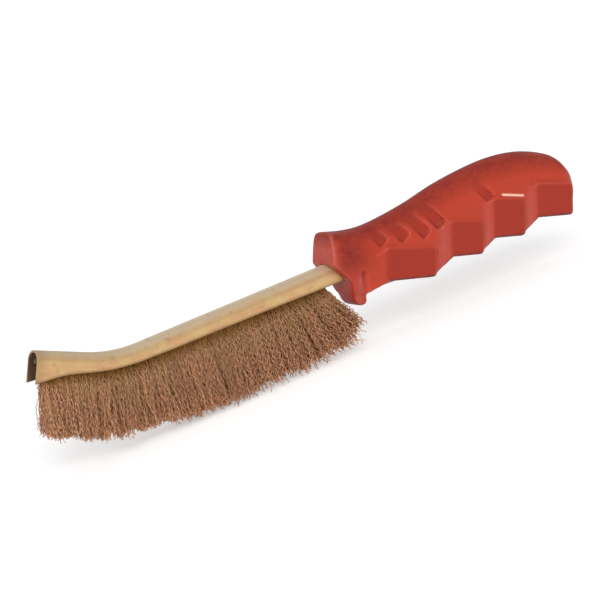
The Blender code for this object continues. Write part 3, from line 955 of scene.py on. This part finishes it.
def matt_and_shade_marks(along, side, rise):
    """Where the handle is matt and painted darker as shade: on its pads, and in its grooves by their depth
    below the flank.
    """
    matt_and_shade = rising(side - HANDLE_HALF_WIDTH, *PAD_MATT_AND_SHADE)
    sunk = np.array([flank_of(x, z) for x, z in zip(along, rise)]) - side
    for place, height, width, length in GROOVES:
        away = (along - place) * math.cos(GROOVE_LEAN) + (rise - height) * math.sin(GROOVE_LEAN)
        down = (rise - height) * math.cos(GROOVE_LEAN) - (along - place) * math.sin(GROOVE_LEAN)
        inside = (np.abs(away) < width / 2) & (np.abs(down) < length / 2) & (side > HANDLE_HALF_WIDTH / 2)
        matt_and_shade = np.maximum(matt_and_shade, np.where(inside, rising(sunk, *GROOVE_MATT_AND_SHADE), 0))
    return matt_and_shade


def sheen_marks(along, side, rise):
    """Painted sheen on the handle: the front of its nose, the ramps between its pads and the sides of its
    guard.
    """
    sheen = np.minimum(fading(along, HANDLE_START, NOSE_FRONT_FADE), NOSE_SHEEN_SHARE)
    for (front, _), (start, _, _, top) in zip(ramp_starts()[1:], PADS[1:]):
        # Most in the middle of the ramp, and towards its foot
        inside = np.minimum(along - front, start - along) / (start - front) * 2
        below = (top - rise) / (top - floor_of(front))
        sheen = np.maximum(sheen, np.clip(inside, 0, 1) * np.sqrt(np.clip(below, 0, 1)))
    ahead = along - RELIEF_PLACE - math.tan(RELIEF_LEAN) * (rise - RELIEF_RISE) + GUARD_SHEEN_AHEAD
    strip = fading(np.abs(ahead), GUARD_SHEEN_HALF_WIDTH, GUARD_SHEEN_FADE)
    strip = strip * rising(-rise, 0, GUARD_SHEEN_DROP) * (side > GUARD_SHEEN_SIDE)
    return np.maximum(sheen, GUARD_SHEEN_SHARE * strip)


def mouth_shade_marks(along, across, rise):
    """Painted shade round the channel's mouth, by the distance from the channel."""
    over = rise * math.cos(HANDLE_RAKE) - along * math.sin(HANDLE_RAKE)
    beside = np.maximum(np.hypot(across, np.maximum(over, 0)) - CHANNEL_WIDTH / 2, 0)
    gap = np.hypot(beside, np.maximum(-CHANNEL_LEG - over, 0))
    return fading(gap, MOUTH_SHADE, MOUTH_SHADE_FADE)


def crown_and_nose_shade_marks(along, rise):
    """Painted shade on the handle: its crown, and its nose above the guard."""
    share = np.array([(z - floor_of(x)) / (top_of(x) - floor_of(x)) for x, z in zip(along, rise)])
    crown = rising(share, SHOULDER[1] - CROWN_SHADE_FADE, SHOULDER[1])
    nose = np.minimum((NOSE_SHADE_REACH - along) / NOSE_ROUND, (along - HANDLE_START) / NOSE_FRONT_FADE)
    nose = nose * rising(rise, NOSE_SHADE_FOOT, NOSE_SHADE_FOOT + NOSE_SHADE_FADE)
    return np.clip(np.maximum(crown, nose * NOSE_SHADE_SHARE), 0, 1)


def underside_shade_marks(along, rise):
    """Painted shade along the lower edge of the grip."""
    above = rise - np.interp(along, *zip(*underside_outline()))
    return fading(above, UNDERSIDE_SHADE_HEIGHT, UNDERSIDE_SHADE_FADE) * (along > PADS[0][0])


def glint_marks(along, across, rise):
    """The painted glint along the ledge on top of one pad."""
    start, end, _, top = PADS[GLINT_PAD]
    first, last = start + GLINT_INSET, end - GLINT_END_INSET
    off = along - (first + last) / 2
    past = np.maximum(np.abs(off) - (last - first) / 2, 0)
    distance = np.hypot(past, rise - top + GLINT_SLOPE * off)
    return fading(distance, GLINT_HALF_HEIGHT, GLINT_FADE) * (across < 0)


def store_marks(mesh):
    """Stores where the handle is matt and painted darker, and where it has a painted sheen, painted shade,
    painted shade along its lower edge and a painted glint.
    """
    along, across, rise = vertex_places(mesh).T
    side = np.abs(across)
    mouth = mouth_shade_marks(along, across, rise)
    store(mesh, "matt_and_shade", matt_and_shade_marks(along, side, rise))
    store(mesh, "sheen", sheen_marks(along, side, rise) * (1 - mouth))
    store(mesh, "painted_shade", np.maximum(crown_and_nose_shade_marks(along, rise), mouth))
    store(mesh, "underside_shade", underside_shade_marks(along, rise))
    store(mesh, "glint", glint_marks(along, across, rise))


def red_plastic(settings):
    """Moulded plastic: satin and faintly grained, paler with a painted sheen and darker with painted shade in
    its corners.
    """
    material, tree, shader = new_finish("satin_red_plastic")
    place = object_place(tree)
    ridge = attribute(tree, "ridge")
    matt_and_shade = attribute(tree, "matt_and_shade")
    cloud = noise(tree, place, 60, 3)
    blotch = noise(tree, place, 380, 3)
    # Pads and grooves are matt, and painted darker as shade
    colour = matt_and_shade.blend(settings.colour, settings.matt_shaded_colour)
    # A painted sheen makes it paler, and painted shade and specks of dirt darken it
    sheen_patches = attribute(tree, "sheen") * cloud.mapped(0.3, 0.7, 0.36, 0.72)
    sheen_patches = (sheen_patches * blotch.mapped(0.35, 0.65, 0.65, 1.35)).held()
    colour = sheen_patches.blend(colour, settings.sheen_colour)
    # Painted shade on the crown, on the nose and round the mouth, with specks of dirt
    shade_and_specks = attribute(tree, "painted_shade") * blotch.mapped(0.35, 0.65, 0.54, 0.82)
    specks = noise(tree, place, 1100, 2).mapped(0.4, 0.7, 0.0, 0.16)
    shade_and_specks = (shade_and_specks + (specks + cloud.mapped(0.35, 0.65, 0.0, 0.10))).held()
    colour = shade_and_specks.blend(colour, settings.shade_and_grime_colour)
    # Fine scratches run along the handle
    scratched = streaks(tree, place, (90, 1700, 1700), 2).mapped(0.67, 0.76, 0.0, 0.3)
    scratched = scratched * cloud.mapped(0.48, 0.6)
    colour = scratched.blend(colour, settings.wear_and_sheen_colour)
    # Ridges are paler, partly from wear and partly as a painted sheen, and hollows are darker as painted
    # shade, in patches
    patchy = noise(tree, place, 240, 3).mapped(0.3, 0.7, 0.3, 1.0)
    ridge_wear_and_sheen = ridge.mapped(0.12, 0.5) * (patchy * 0.45)
    colour = ridge_wear_and_sheen.blend(colour, settings.wear_and_sheen_colour)
    # Painted shade in the hollows
    hollow_shade = ridge.mapped(-0.06, -0.35) * (patchy * 0.55)
    colour = hollow_shade.blend(colour, settings.shade_and_grime_colour)
    # Painted shade along the lower edge of the grip
    shaded_underside = attribute(tree, "underside_shade") * blotch.mapped(0.35, 0.65, 0.55, 0.9)
    colour = shaded_underside.blend(colour, settings.underside_shade_colour)
    # A painted glint along the ledge of one pad
    colour = attribute(tree, "glint").blend(colour, settings.glint_colour)
    feed(tree, shader.inputs["Base Color"], colour)
    shader.inputs["Specular IOR Level"].default_value = 0.3

    # Satin gloss with handling marks, and a fine moulded grain
    satin = streaks(tree, place, (160, 500, 500), 3).mapped(0.3, 0.7, 0.34, 0.48)
    feed(tree, shader.inputs["Roughness"], matt_and_shade * 0.12 + satin)
    raise_surface(tree, shader, noise(tree, place, 1900, 2), 0.00006, 0.5)
    return material


class BRUSH_OT_add_handle(bpy.types.Operator):
    """Moulds the handle, with its pads, guard, grooves and tang socket"""

    bl_idname = "brush.add_handle"
    bl_label = "Add handle"

    def execute(self, context):
        settings = context.scene.brush_handle
        body = handle_body()
        steps = [(hood_cut(), "DIFFERENCE"), (grip_grooves(), "DIFFERENCE"), (keel_cut(), "DIFFERENCE")]
        steps += [(pad, "UNION") for pad in finger_pads()]
        steps += [(finger_guard(), "UNION"), (guard_relief(), "DIFFERENCE")]
        for helper, operation in steps:
            combine(body, helper, operation)
        remesh = body.modifiers.new("moulded", "REMESH")
        remesh.mode = "VOXEL"
        remesh.voxel_size = settings.voxel
        remesh.use_smooth_shade = True
        smooth = body.modifiers.new("rounded", "SMOOTH")
        smooth.iterations = settings.smoothing

        # The socket is the channel's own section with clearance all round, so a tongue fills the U
        runs = (-TANG_LENGTH - FIT, 0.0, CHANNEL_WIDTH * 2)
        radius, wall = CHANNEL_WIDTH / 2 + FIT, CHANNEL_WALL + 2 * FIT
        back_steps = context.scene.brush_channel.back_steps
        socket = folded_sheet("tang_socket", runs, radius, FIT, wall, back_steps)
        baked(socket).transform(HANDLE_TURN.inverted())
        steps.append((socket, "DIFFERENCE"))
        combine(body, socket, "DIFFERENCE")

        mesh = baked(body)
        for helper, _ in steps:
            bpy.data.objects.remove(helper)
        store_marks(mesh)
        mesh.transform(Matrix.Translation(ORIGIN) @ HANDLE_TURN)
        mesh.shade_smooth()
        mesh.set_sharp_from_angle(angle=HANDLE_SHARP_ANGLE)
        store_ridges(mesh)
        dress(mesh, red_plastic(settings))
        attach(body, "root")
        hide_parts("handle")
        return {"FINISHED"}


# Channel and core wire

def folded_sheet(name, runs, radius, leg_extra, wall, back_steps):
    """A U of sheet along the axis, its outer face at the radius and its wall inwards."""
    bm = bmesh.new()
    rows = []
    for run in runs:
        place = axis_frame(run)
        leg = leg_depth(run) + leg_extra
        outline = [(radius, -leg)]
        for i in range(back_steps + 1):
            turn = math.pi * i / back_steps
            outline.append((radius * math.cos(turn), radius * math.sin(turn)))
        outline.append((-radius, -leg))
        rows.append([bm.verts.new(place @ Vector((0, y, z))) for y, z in outline])
    for row, following in zip(rows, rows[1:]):
        for i in range(len(row) - 1):
            bm.faces.new((row[i], row[i + 1], following[i + 1], following[i]))
    sheet = mesh_object(name, bm)
    solidify = sheet.modifiers.new("sheet", "SOLIDIFY")
    solidify.thickness = wall
    solidify.offset = -1
    solidify.use_even_offset = True
    return sheet


def store_straight(mesh):
    """Stores where each vertex would lie in a straight channel, and its height over the foot of the legs."""
    x, across, z = vertex_places(mesh).T
    turn = np.clip(np.arctan2(-x - STRAIGHT_RUN, BEND_RADIUS - z), 0, BEND_ANGLE)
    out = -x - STRAIGHT_RUN - BEND_RADIUS * np.sin(turn)
    up = z - BEND_RADIUS * (1 - np.cos(turn))
    run = STRAIGHT_RUN + BEND_RADIUS * turn + out * np.cos(turn) + up * np.sin(turn)
    height = up * np.cos(turn) - out * np.sin(turn)
    store(mesh, "foot", height + [leg_depth(place) for place in run])
    straight = np.stack((run, across, height), axis=1)
    mesh.attributes.new("straight", "FLOAT_VECTOR", "POINT").data.foreach_set("vector", straight.ravel())


def brass_plate(settings):
    """Brass plating: drawn lengthwise and patchy, with a painted sheen along the back, a few tarnished spots
    and painted shade on the feet and inside.
    """
    material, tree, shader = new_finish("brass_plate_with_sheen")
    straight = add(tree, "ShaderNodeAttribute", attribute_name="straight").outputs["Vector"]
    run, across, _ = parts_of(tree, straight)
    _, sideways, upwards = parts_of(tree, add(tree, "ShaderNodeNewGeometry").outputs["Normal"])
    cloud = noise(tree, straight, 130, 4, 0.6)
    drawn = streaks(tree, straight, (50, 1300, 1300), 3, 0.6)
    patches = streaks(tree, straight, (110, 260, 260), 3, 0.6).mapped(0.38, 0.62)
    colour = patches.blend(settings.colour, settings.warm_colour)
    colour = drawn.mapped(0.5, 0.75, 0.0, 0.22).blend(colour, settings.tarnish_colour)
    # A painted sheen makes the back grey, and a painted glint runs along its crest
    back_sheen = (upwards + cloud * 0.4).mapped(0.45, 0.95)
    colour = back_sheen.blend(colour, settings.wear_and_sheen_colour)
    colour = upwards.mapped(0.88, 0.99, 0.0, 0.75).blend(colour, settings.crest_glint_colour)
    # The plating is tarnished in spots, and darker towards the cut end of the head
    spots = noise(tree, straight, 330, 4, 0.65).mapped(0.57, 0.74, 0.0, 0.5)
    end = run.mapped(HEAD_LENGTH - END_DARKENING_REACH, HEAD_LENGTH, 0.0, 0.5)
    colour = spots.math("MAXIMUM", end).blend(colour, settings.tarnish_colour)
    # Painted shade darkens the feet of both legs
    foot_shade = attribute(tree, "foot").mapped(FOOT_SHADE, 0.0, 0.0, 0.8)
    colour = foot_shade.blend(colour, settings.shade_and_grime_colour)
    # Faces that look towards the middle plane are the channel's inside, painted in shade
    inside = (across * sideways).mapped(*INSIDE)
    feed(tree, shader.inputs["Base Color"], inside.blend(colour, settings.inner_shade_colour))
    shader.inputs["Metallic"].default_value = 0.55
    feed(tree, shader.inputs["Roughness"], drawn.mapped(0.25, 0.75, 0.30, 0.48))
    raise_surface(tree, shader, drawn, 0.00004, 0.3)
    return material


class BRUSH_OT_add_channel(bpy.types.Operator):
    """Folds the sheet channel, from its tang to the bent-up head"""

    bl_idname = "brush.add_channel"
    bl_label = "Add channel"

    def execute(self, context):
        settings = context.scene.brush_channel
        runs = [-TANG_LENGTH]
        runs += [HEAD_LENGTH * i / settings.row_steps for i in range(settings.row_steps + 1)]
        sheet = folded_sheet("folded_channel", runs, CHANNEL_WIDTH / 2, 0, CHANNEL_WALL, settings.back_steps)
        bevel = sheet.modifiers.new("cut_edges", "BEVEL")
        bevel.width = settings.edge_round
        bevel.segments = CUT_EDGE_STEPS
        bevel.limit_method = "ANGLE"
        bevel.angle_limit = CUT_EDGE_ANGLE
        mesh = baked(sheet)
        store_straight(mesh)
        mesh.transform(Matrix.Translation(ORIGIN))
        mesh.shade_smooth()
        mesh.set_sharp_from_angle(angle=CHANNEL_SHARP_ANGLE)
        dress(mesh, brass_plate(settings))
        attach(sheet, "root")
        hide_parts("channel")
        return {"FINISHED"}


def core_steel(settings):
    """Drawn steel with rusty spots."""
    material, tree, shader = new_finish("drawn_core_steel")
    place = object_place(tree)
    drawn = streaks(tree, place, (90, 2400, 2400), 3)
    rust = noise(tree, place, 700, 4).mapped(0.5, 0.7)
    bare = drawn.blend(settings.colour, settings.bright_colour)
    feed(tree, shader.inputs["Base Color"], rust.blend(bare, settings.rust_colour))
    shader.inputs["Metallic"].default_value = 0.6
    feed(tree, shader.inputs["Roughness"], drawn.mapped(0.3, 0.7, 0.5, 0.7))
    raise_surface(tree, shader, drawn, 0.00004, 0.4)
    return material


class BRUSH_OT_dress_core_wire(bpy.types.Operator):
    """Gives the core wire its drawn steel finish"""

    bl_idname = "brush.dress_core_wire"
    bl_label = "Dress core wire"

    def execute(self, context):
        dress(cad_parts["core_wire"].data, core_steel(context.scene.brush_core_wire))
        return {"FINISHED"}


# Wire fill

def splay(run):
    """How far a wire leans to the handle: strongly at the heel, and a little at the bent-up head."""
    heel = clamped(1 - (run - FILL_HEEL_MARGIN) / HEEL_SPLAY_REACH)
    head = clamped(1 - (HEAD_LENGTH - run) / HEAD_SET_BACK_REACH)
    return -HEEL_SPLAY * heel**HEEL_CURVE - HEAD_SET_BACK * head


def fill_depth(run):
    """How far the trimmed wires reach below the axis: less towards the head, and at the splayed heel."""
    share = clamped((run - (HEAD_LENGTH - HEAD_TRIM_REACH)) / HEAD_TRIM_REACH)
    heel = clamped(1 - (run - FILL_HEEL_MARGIN) / HEEL_TRIM_REACH)
    # Lengths are counted from legs that would deepen evenly from the bend to the tip
    flare = clamped((run - STRAIGHT_RUN) / (HEAD_LENGTH - STRAIGHT_RUN))
    length = WIRE_LENGTH + (HEAD_WIRE_LENGTH - WIRE_LENGTH) * share - HEEL_TRIM * heel
    return CHANNEL_LEG + (TIP_LEG - CHANNEL_LEG) * flare + length


# Inputs of the node tree that lays the wires of one tuft
WIRE_INPUTS = (
    ("Wires", "NodeSocketInt"),
    ("Points", "NodeSocketInt"),
    ("Pitch", "NodeSocketFloat"),
    ("Foot", "NodeSocketFloat"),
    ("Inner", "NodeSocketFloat"),
    ("Outer", "NodeSocketFloat"),
    ("Heel length", "NodeSocketFloat"),
    ("Head length", "NodeSocketFloat"),
    ("Heel lean", "NodeSocketFloat"),
    ("Head lean", "NodeSocketFloat"),
    ("Fan inner", "NodeSocketFloat"),
    ("Fan outer", "NodeSocketFloat"),
    ("Diameter", "NodeSocketFloat"),
    ("Crimp", "NodeSocketFloat"),
    ("Ragged", "NodeSocketFloat"),
    ("Stray", "NodeSocketFloat"),
    ("Seed", "NodeSocketInt"),
    ("Material", "NodeSocketMaterial"),
)


def wire_tree():
    """Node tree of one tuft: wires that run over the core wire, down the channel and out in a zigzag."""
    tree = bpy.data.node_groups.new("folded_wires", "GeometryNodeTree")
    tree.interface.new_socket("Geometry", in_out="OUTPUT", socket_type="NodeSocketGeometry")
    for name, kind in WIRE_INPUTS:
        tree.interface.new_socket(name, in_out="INPUT", socket_type=kind)
    inputs = add(tree, "NodeGroupInput").outputs
    given = {name: Number(inputs[name]) for name, kind in WIRE_INPUTS if kind != "NodeSocketMaterial"}
    draws = itertools.count()
    index = Number(add(tree, "GeometryNodeInputIndex").outputs[0])
    bundle = (index / BUNDLE).math("FLOOR")

    def each_wire(field):
        """The field, taken once for each wire."""
        node = add(tree, "GeometryNodeFieldOnDomain", domain="CURVE", data_type="FLOAT")
        feed(tree, node.inputs[0], field)
        return Number(node.outputs[0])

    def draw(low, high, group=None):
        """A random number for each wire, or for each bundle of wires."""
        node = add(tree, "FunctionNodeRandomValue", data_type="FLOAT")
        feed(tree, node.inputs[2], low)
        feed(tree, node.inputs[3], high)
        if group is not None:
            feed(tree, node.inputs["ID"], group)
        feed(tree, node.inputs["Seed"], given["Seed"] + next(draws))
        return each_wire(node.outputs[1])

    def stray(reach, group=None):
        """A random number that reaches as far to both sides of 0."""
        return draw(-reach, reach, group)

    def between(low, high, share):
        """A value between two, by share."""
        return (high - low) * share + low

    # Root of each wire, and its trimmed length
    spread = (each_wire(index) + draw(0.0, 1.0)) / given["Wires"]
    root = (spread - 0.5) * given["Pitch"]
    depth = draw(0.0, 1.0)
    radius = between(given["Inner"], given["Outer"], depth)
    side = draw(0.0, 1.0).math("GREATER_THAN", 0.5) * 2.0 - 1.0
    trim = draw(*TRIM_SPREAD) + draw(*BUNDLE_TRIM_SPREAD, bundle)
    length = trim * given["Ragged"] + between(given["Heel length"], given["Head length"], spread)

    # Lean along the channel and fan across it, in bundles with a few wild wires
    wander = stray(LEAN_SPREAD) + stray(BUNDLE_LEAN_SPREAD, bundle)
    wild = draw(0.0, 1.0).math("GREATER_THAN", 1 - WILD_SHARE) * stray(WILD_SPREAD)
    lean = (wander + wild) * given["Stray"] + between(given["Heel lean"], given["Head lean"], spread)
    fan = between(given["Fan inner"], given["Fan outer"], depth * draw(*FAN_SHARES))
    fanned = stray(FAN_SPREAD) + stray(BUNDLE_FAN_SPREAD, bundle)
    fan = fanned * given["Stray"] + fan

    # Distance along the wire, counted from the channel's axis: above it the wire folds over the core wire
    number = Number(add(tree, "GeometryNodeSplineParameter").outputs["Index"])
    steps = given["Points"] - (1.0 + HIDDEN_STEPS)
    early = length * draw(0.0, 1.0) / steps
    hidden = (number / HIDDEN_STEPS).held()
    past = ((number - HIDDEN_STEPS) / steps).held()
    run = between(radius * (-math.pi / 2), given["Foot"] - early, hidden)
    run = past * (length + early) + run
    fold = (run * -1.0 / radius).math("MAXIMUM", 0.0)
    held = run.math("MAXIMUM", 0.0).math("MINIMUM", given["Foot"])
    free = (run - given["Foot"]).math("MAXIMUM", 0.0)

    # Zigzag crimp, in a direction of its own for each wire
    zigzag = number.math("MODULO", 2.0) * 2.0 - 1.0
    grown = (free / CRIMP_START).held()
    swing = zigzag * grown * given["Crimp"] * draw(*CRIMP_SHARES)
    heading = draw(0.0, 2 * math.pi)

    # Slow waves, so that the wires cross each other
    turn = free * (2 * math.pi / WAVE_LENGTH) + draw(0.0, 2 * math.pi)
    wave = turn.math("SINE") * grown * given["Crimp"]

    # Place of each point, where the inner wires draw together below the core wire
    pinch = held / given["Foot"] * (depth * -PINCH + PINCH)
    out = radius * fold.math("COSINE") * (1.0 - pinch)
    x = lean.math("SINE") * free + root + wave + swing * heading.math("COSINE")
    y = side * (fan.math("TANGENT") * free + out) + swing * heading.math("SINE")
    z = radius * fold.math("SINE") - held - lean.math("COSINE") * free
    place = output_of(tree, "ShaderNodeCombineXYZ", {"X": x, "Y": y, "Z": z})

    # One straight line, repeated for every wire and laid along its places
    line = output_of(tree, "GeometryNodeCurvePrimitiveLine", {})
    line = output_of(tree, "GeometryNodeResampleCurve", {"Curve": line, "Count": given["Points"]})
    copied = {"Geometry": line, "Amount": given["Wires"]}
    wires = output_of(tree, "GeometryNodeDuplicateElements", copied, domain="SPLINE")
    wires = output_of(tree, "GeometryNodeSetPosition", {"Geometry": wires, "Position": place})

    # Shade of each wire, and how far each point lies below the channel, for the finish
    for name, value in (("tint", draw(0.0, 1.0)), ("reach", free / length)):
        stored = {"Geometry": wires, "Name": name, "Value": value}
        wires = output_of(tree, "GeometryNodeStoreNamedAttribute", stored, data_type="FLOAT", domain="POINT")

    ring = {"Resolution": WIRE_SIDES, "Radius": given["Diameter"] / 2}
    profile = output_of(tree, "GeometryNodeCurvePrimitiveCircle", ring)
    skin = {"Curve": wires, "Profile Curve": profile, "Fill Caps": True}
    wires = output_of(tree, "GeometryNodeCurveToMesh", skin)
    wires = output_of(tree, "GeometryNodeRealizeInstances", {"Geometry": wires})
    dressed = {"Geometry": wires, "Material": inputs["Material"]}
    wires = output_of(tree, "GeometryNodeSetMaterial", dressed)
    feed(tree, add(tree, "NodeGroupOutput").inputs[0], wires)
    return tree


def coppered_wire(settings):
    """Coppered steel wire: each wire has its own shade, with painted shade at its root below the channel, and
    worn and grimy stretches.
    """
    material, tree, shader = new_finish("crimped_coppered_wire")
    place = object_place(tree)
    reach = attribute(tree, "reach")
    speckle = noise(tree, place, 800, 3, 0.7)
    shade = attribute(tree, "tint") * 0.4 + (speckle * 1.6 - 0.5)
    colour = shade.mapped(0.1, 0.75).blend(settings.dark_colour, settings.colour)
    colour = shade.mapped(0.72, 1.1).blend(colour, settings.bright_colour)
    patch = noise(tree, place, 110, 2) * 1.4 + (reach * -0.5 - 0.35)
    colour = patch.mapped(0.0, 0.5, 0.0, 0.6).blend(colour, settings.tarnish_colour)
    # Painted shade at the roots, below the channel
    root_shade = reach.mapped(0.20, 0.05, 0.0, 0.94)
    feed(tree, shader.inputs["Base Color"], root_shade.blend(colour, settings.root_shade_colour))
    shader.inputs["Metallic"].default_value = 0.6
    feed(tree, shader.inputs["Roughness"], speckle.mapped(0.3, 0.7, 0.38, 0.58))
    return material


class BRUSH_OT_add_wire_fill(bpy.types.Operator):
    """Lays the crimped wires of every tuft, folded over the core wire"""

    bl_idname = "brush.add_wire_fill"
    bl_label = "Add wire fill"

    def execute(self, context):
        settings = context.scene.brush_wires
        tree = wire_tree()
        material = coppered_wire(settings)
        sockets = {item.name: item.identifier for item in tree.interface.items_tree if item.in_out == "INPUT"}
        for tuft in range(TUFT_COUNT):
            heel = FILL_HEEL_MARGIN + TUFT_PITCH * tuft
            head = heel + TUFT_PITCH
            middle = (heel + head) / 2
            values = {
                "Wires": settings.wires,
                "Points": settings.points,
                "Pitch": TUFT_PITCH,
                "Foot": leg_depth(middle),
                "Inner": HANK_INNER,
                "Outer": HANK_OUTER,
                "Heel length": fill_depth(heel) - leg_depth(heel),
                "Head length": fill_depth(head) - leg_depth(head),
                "Heel lean": splay(heel),
                "Head lean": splay(head),
                "Fan inner": FAN_INNER,
                "Fan outer": FAN_OUTER,
                "Diameter": settings.diameter,
                "Crimp": settings.crimp,
                "Ragged": settings.ragged,
                "Stray": settings.stray,
                "Seed": settings.seed * SEED_STEP + tuft * TUFT_SEED_STEP,
                "Material": material,
            }
            mesh = bpy.data.meshes.new(f"wires_{tuft + 1:02d}")
            wires = bpy.data.objects.new(mesh.name, mesh)
            bpy.context.scene.collection.objects.link(wires)
            laying = wires.modifiers.new("folded_wires", "NODES")
            laying.node_group = tree
            for name, value in values.items():
                laying[sockets[name]] = value
            mesh = baked(wires)
            if not mesh.polygons:
                raise RuntimeError(f"{wires.name} has no wires")
            mesh.transform(Matrix.Translation(ORIGIN) @ axis_frame(middle))
            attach(wires, "root")
            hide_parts(f"wire_tuft_{tuft + 1:02d}")
        return {"FINISHED"}


# Stage

def pale_floor(settings):
    """The floor, and its matt paper finish."""
    bm = bmesh.new()
    bmesh.ops.create_grid(bm, x_segments=1, y_segments=1, size=settings.floor_size / 2)
    floor = mesh_object("floor", bm)
    material, tree, shader = new_finish("white_paper")
    fibre = noise(tree, object_place(tree), 900, 2)
    pale = [min(channel * FIBRE_CONTRAST, 1) for channel in settings.floor_colour]
    feed(tree, shader.inputs["Base Color"], fibre.blend(settings.floor_colour, pale))
    shader.inputs["Roughness"].default_value = 0.9
    shader.inputs["Specular IOR Level"].default_value = 0.1
    # It glows only where the camera, a reflection or a glass looks at it
    path = add(tree, "ShaderNodeLightPath").outputs
    seen = Number(path["Is Camera Ray"]).math("MAXIMUM", path["Is Glossy Ray"])
    seen = seen.math("MAXIMUM", path["Is Transmission Ray"])
    shader.inputs["Emission Color"].default_value = WHITE
    feed(tree, shader.inputs["Emission Strength"], seen * FLOOR_GLOW)
    floor.data.materials.append(material)


def camera(settings):
    """The camera at the photograph's viewing angle."""
    yaw, pitch, roll = settings.yaw, settings.pitch, settings.roll
    ahead = Vector((math.sin(yaw) * math.cos(pitch), math.cos(yaw) * math.cos(pitch), -math.sin(pitch)))
    level = Vector((math.cos(yaw), -math.sin(yaw), 0))
    up = level.cross(ahead)
    right = math.cos(roll) * level - math.sin(roll) * up
    upright = math.sin(roll) * level + math.cos(roll) * up
    data = bpy.data.cameras.new("camera")
    data.lens = settings.lens
    data.sensor_width = FILM_WIDTH
    data.clip_start = NEAR_LIMIT
    eye = bpy.data.objects.new("camera", data)
    turn = Matrix((right, upright, -ahead)).transposed().to_4x4()
    eye.matrix_world = Matrix.Translation(Vector(settings.target) - ahead * settings.distance) @ turn
    bpy.context.scene.collection.objects.link(eye)
    bpy.context.scene.camera = eye


def sun(name, direction, strength, softness):
    """A soft lamp that shines from that direction."""
    data = bpy.data.lights.new(name, "SUN")
    data.energy = strength
    data.angle = softness
    lamp = bpy.data.objects.new(name, data)
    lamp.rotation_euler = Vector(direction).to_track_quat("Z", "Y").to_euler()
    bpy.context.scene.collection.objects.link(lamp)


class BRUSH_OT_add_stage(bpy.types.Operator):
    """Sets the camera, the soft lights, the world and the pale floor"""

    bl_idname = "brush.add_stage"
    bl_label = "Add stage"

    def execute(self, context):
        settings = context.scene.brush_stage
        camera(settings)
        pale_floor(settings)
        sun("key", KEY_FROM, settings.key, KEY_SOFTNESS)
        sun("side", SIDE_FROM, settings.side, SIDE_SOFTNESS)
        world = bpy.data.worlds.new("studio")
        world.use_nodes = True
        sky = world.node_tree.nodes["Background"]
        sky.inputs["Color"].default_value = WHITE
        sky.inputs["Strength"].default_value = settings.sky
        context.scene.world = world
        context.scene.view_settings.view_transform = "Standard"
        return {"FINISHED"}


class VIEW3D_PT_wire_brush(bpy.types.Panel):
    """Lists the brush's pieces and settings"""

    bl_label = "Wire brush"
    bl_space_type = "VIEW_3D"
    bl_region_type = "UI"
    bl_category = "Wire brush"

    def draw(self, context):
        for operator, group, _ in STEPS:
            settings = getattr(context.scene, group)
            column = self.layout.column(align=True)
            column.operator(operator.bl_idname)
            for name in settings.bl_rna.properties.keys():
                if name not in ("rna_type", "name"):
                    column.prop(settings, name)


# Each operator, with the name and the kind of its settings
STEPS = (
    (BRUSH_OT_add_handle, "brush_handle", HandleSettings),
    (BRUSH_OT_add_channel, "brush_channel", ChannelSettings),
    (BRUSH_OT_dress_core_wire, "brush_core_wire", CoreWireSettings),
    (BRUSH_OT_add_wire_fill, "brush_wires", WireSettings),
    (BRUSH_OT_add_stage, "brush_stage", StageSettings),
)


def register():
    for operator, name, settings in STEPS:
        bpy.utils.register_class(settings)
        setattr(bpy.types.Scene, name, PointerProperty(type=settings))
        bpy.utils.register_class(operator)
    bpy.utils.register_class(VIEW3D_PT_wire_brush)


def unregister():
    bpy.utils.unregister_class(VIEW3D_PT_wire_brush)
    for operator, name, settings in reversed(STEPS):
        bpy.utils.unregister_class(operator)
        delattr(bpy.types.Scene, name)
        bpy.utils.unregister_class(settings)


def main():
    register()
    bpy.ops.brush.add_handle()
    bpy.ops.brush.add_channel()
    bpy.ops.brush.dress_core_wire()
    bpy.ops.brush.add_wire_fill()
    bpy.ops.brush.add_stage()


if __name__ == "__main__":
    main()
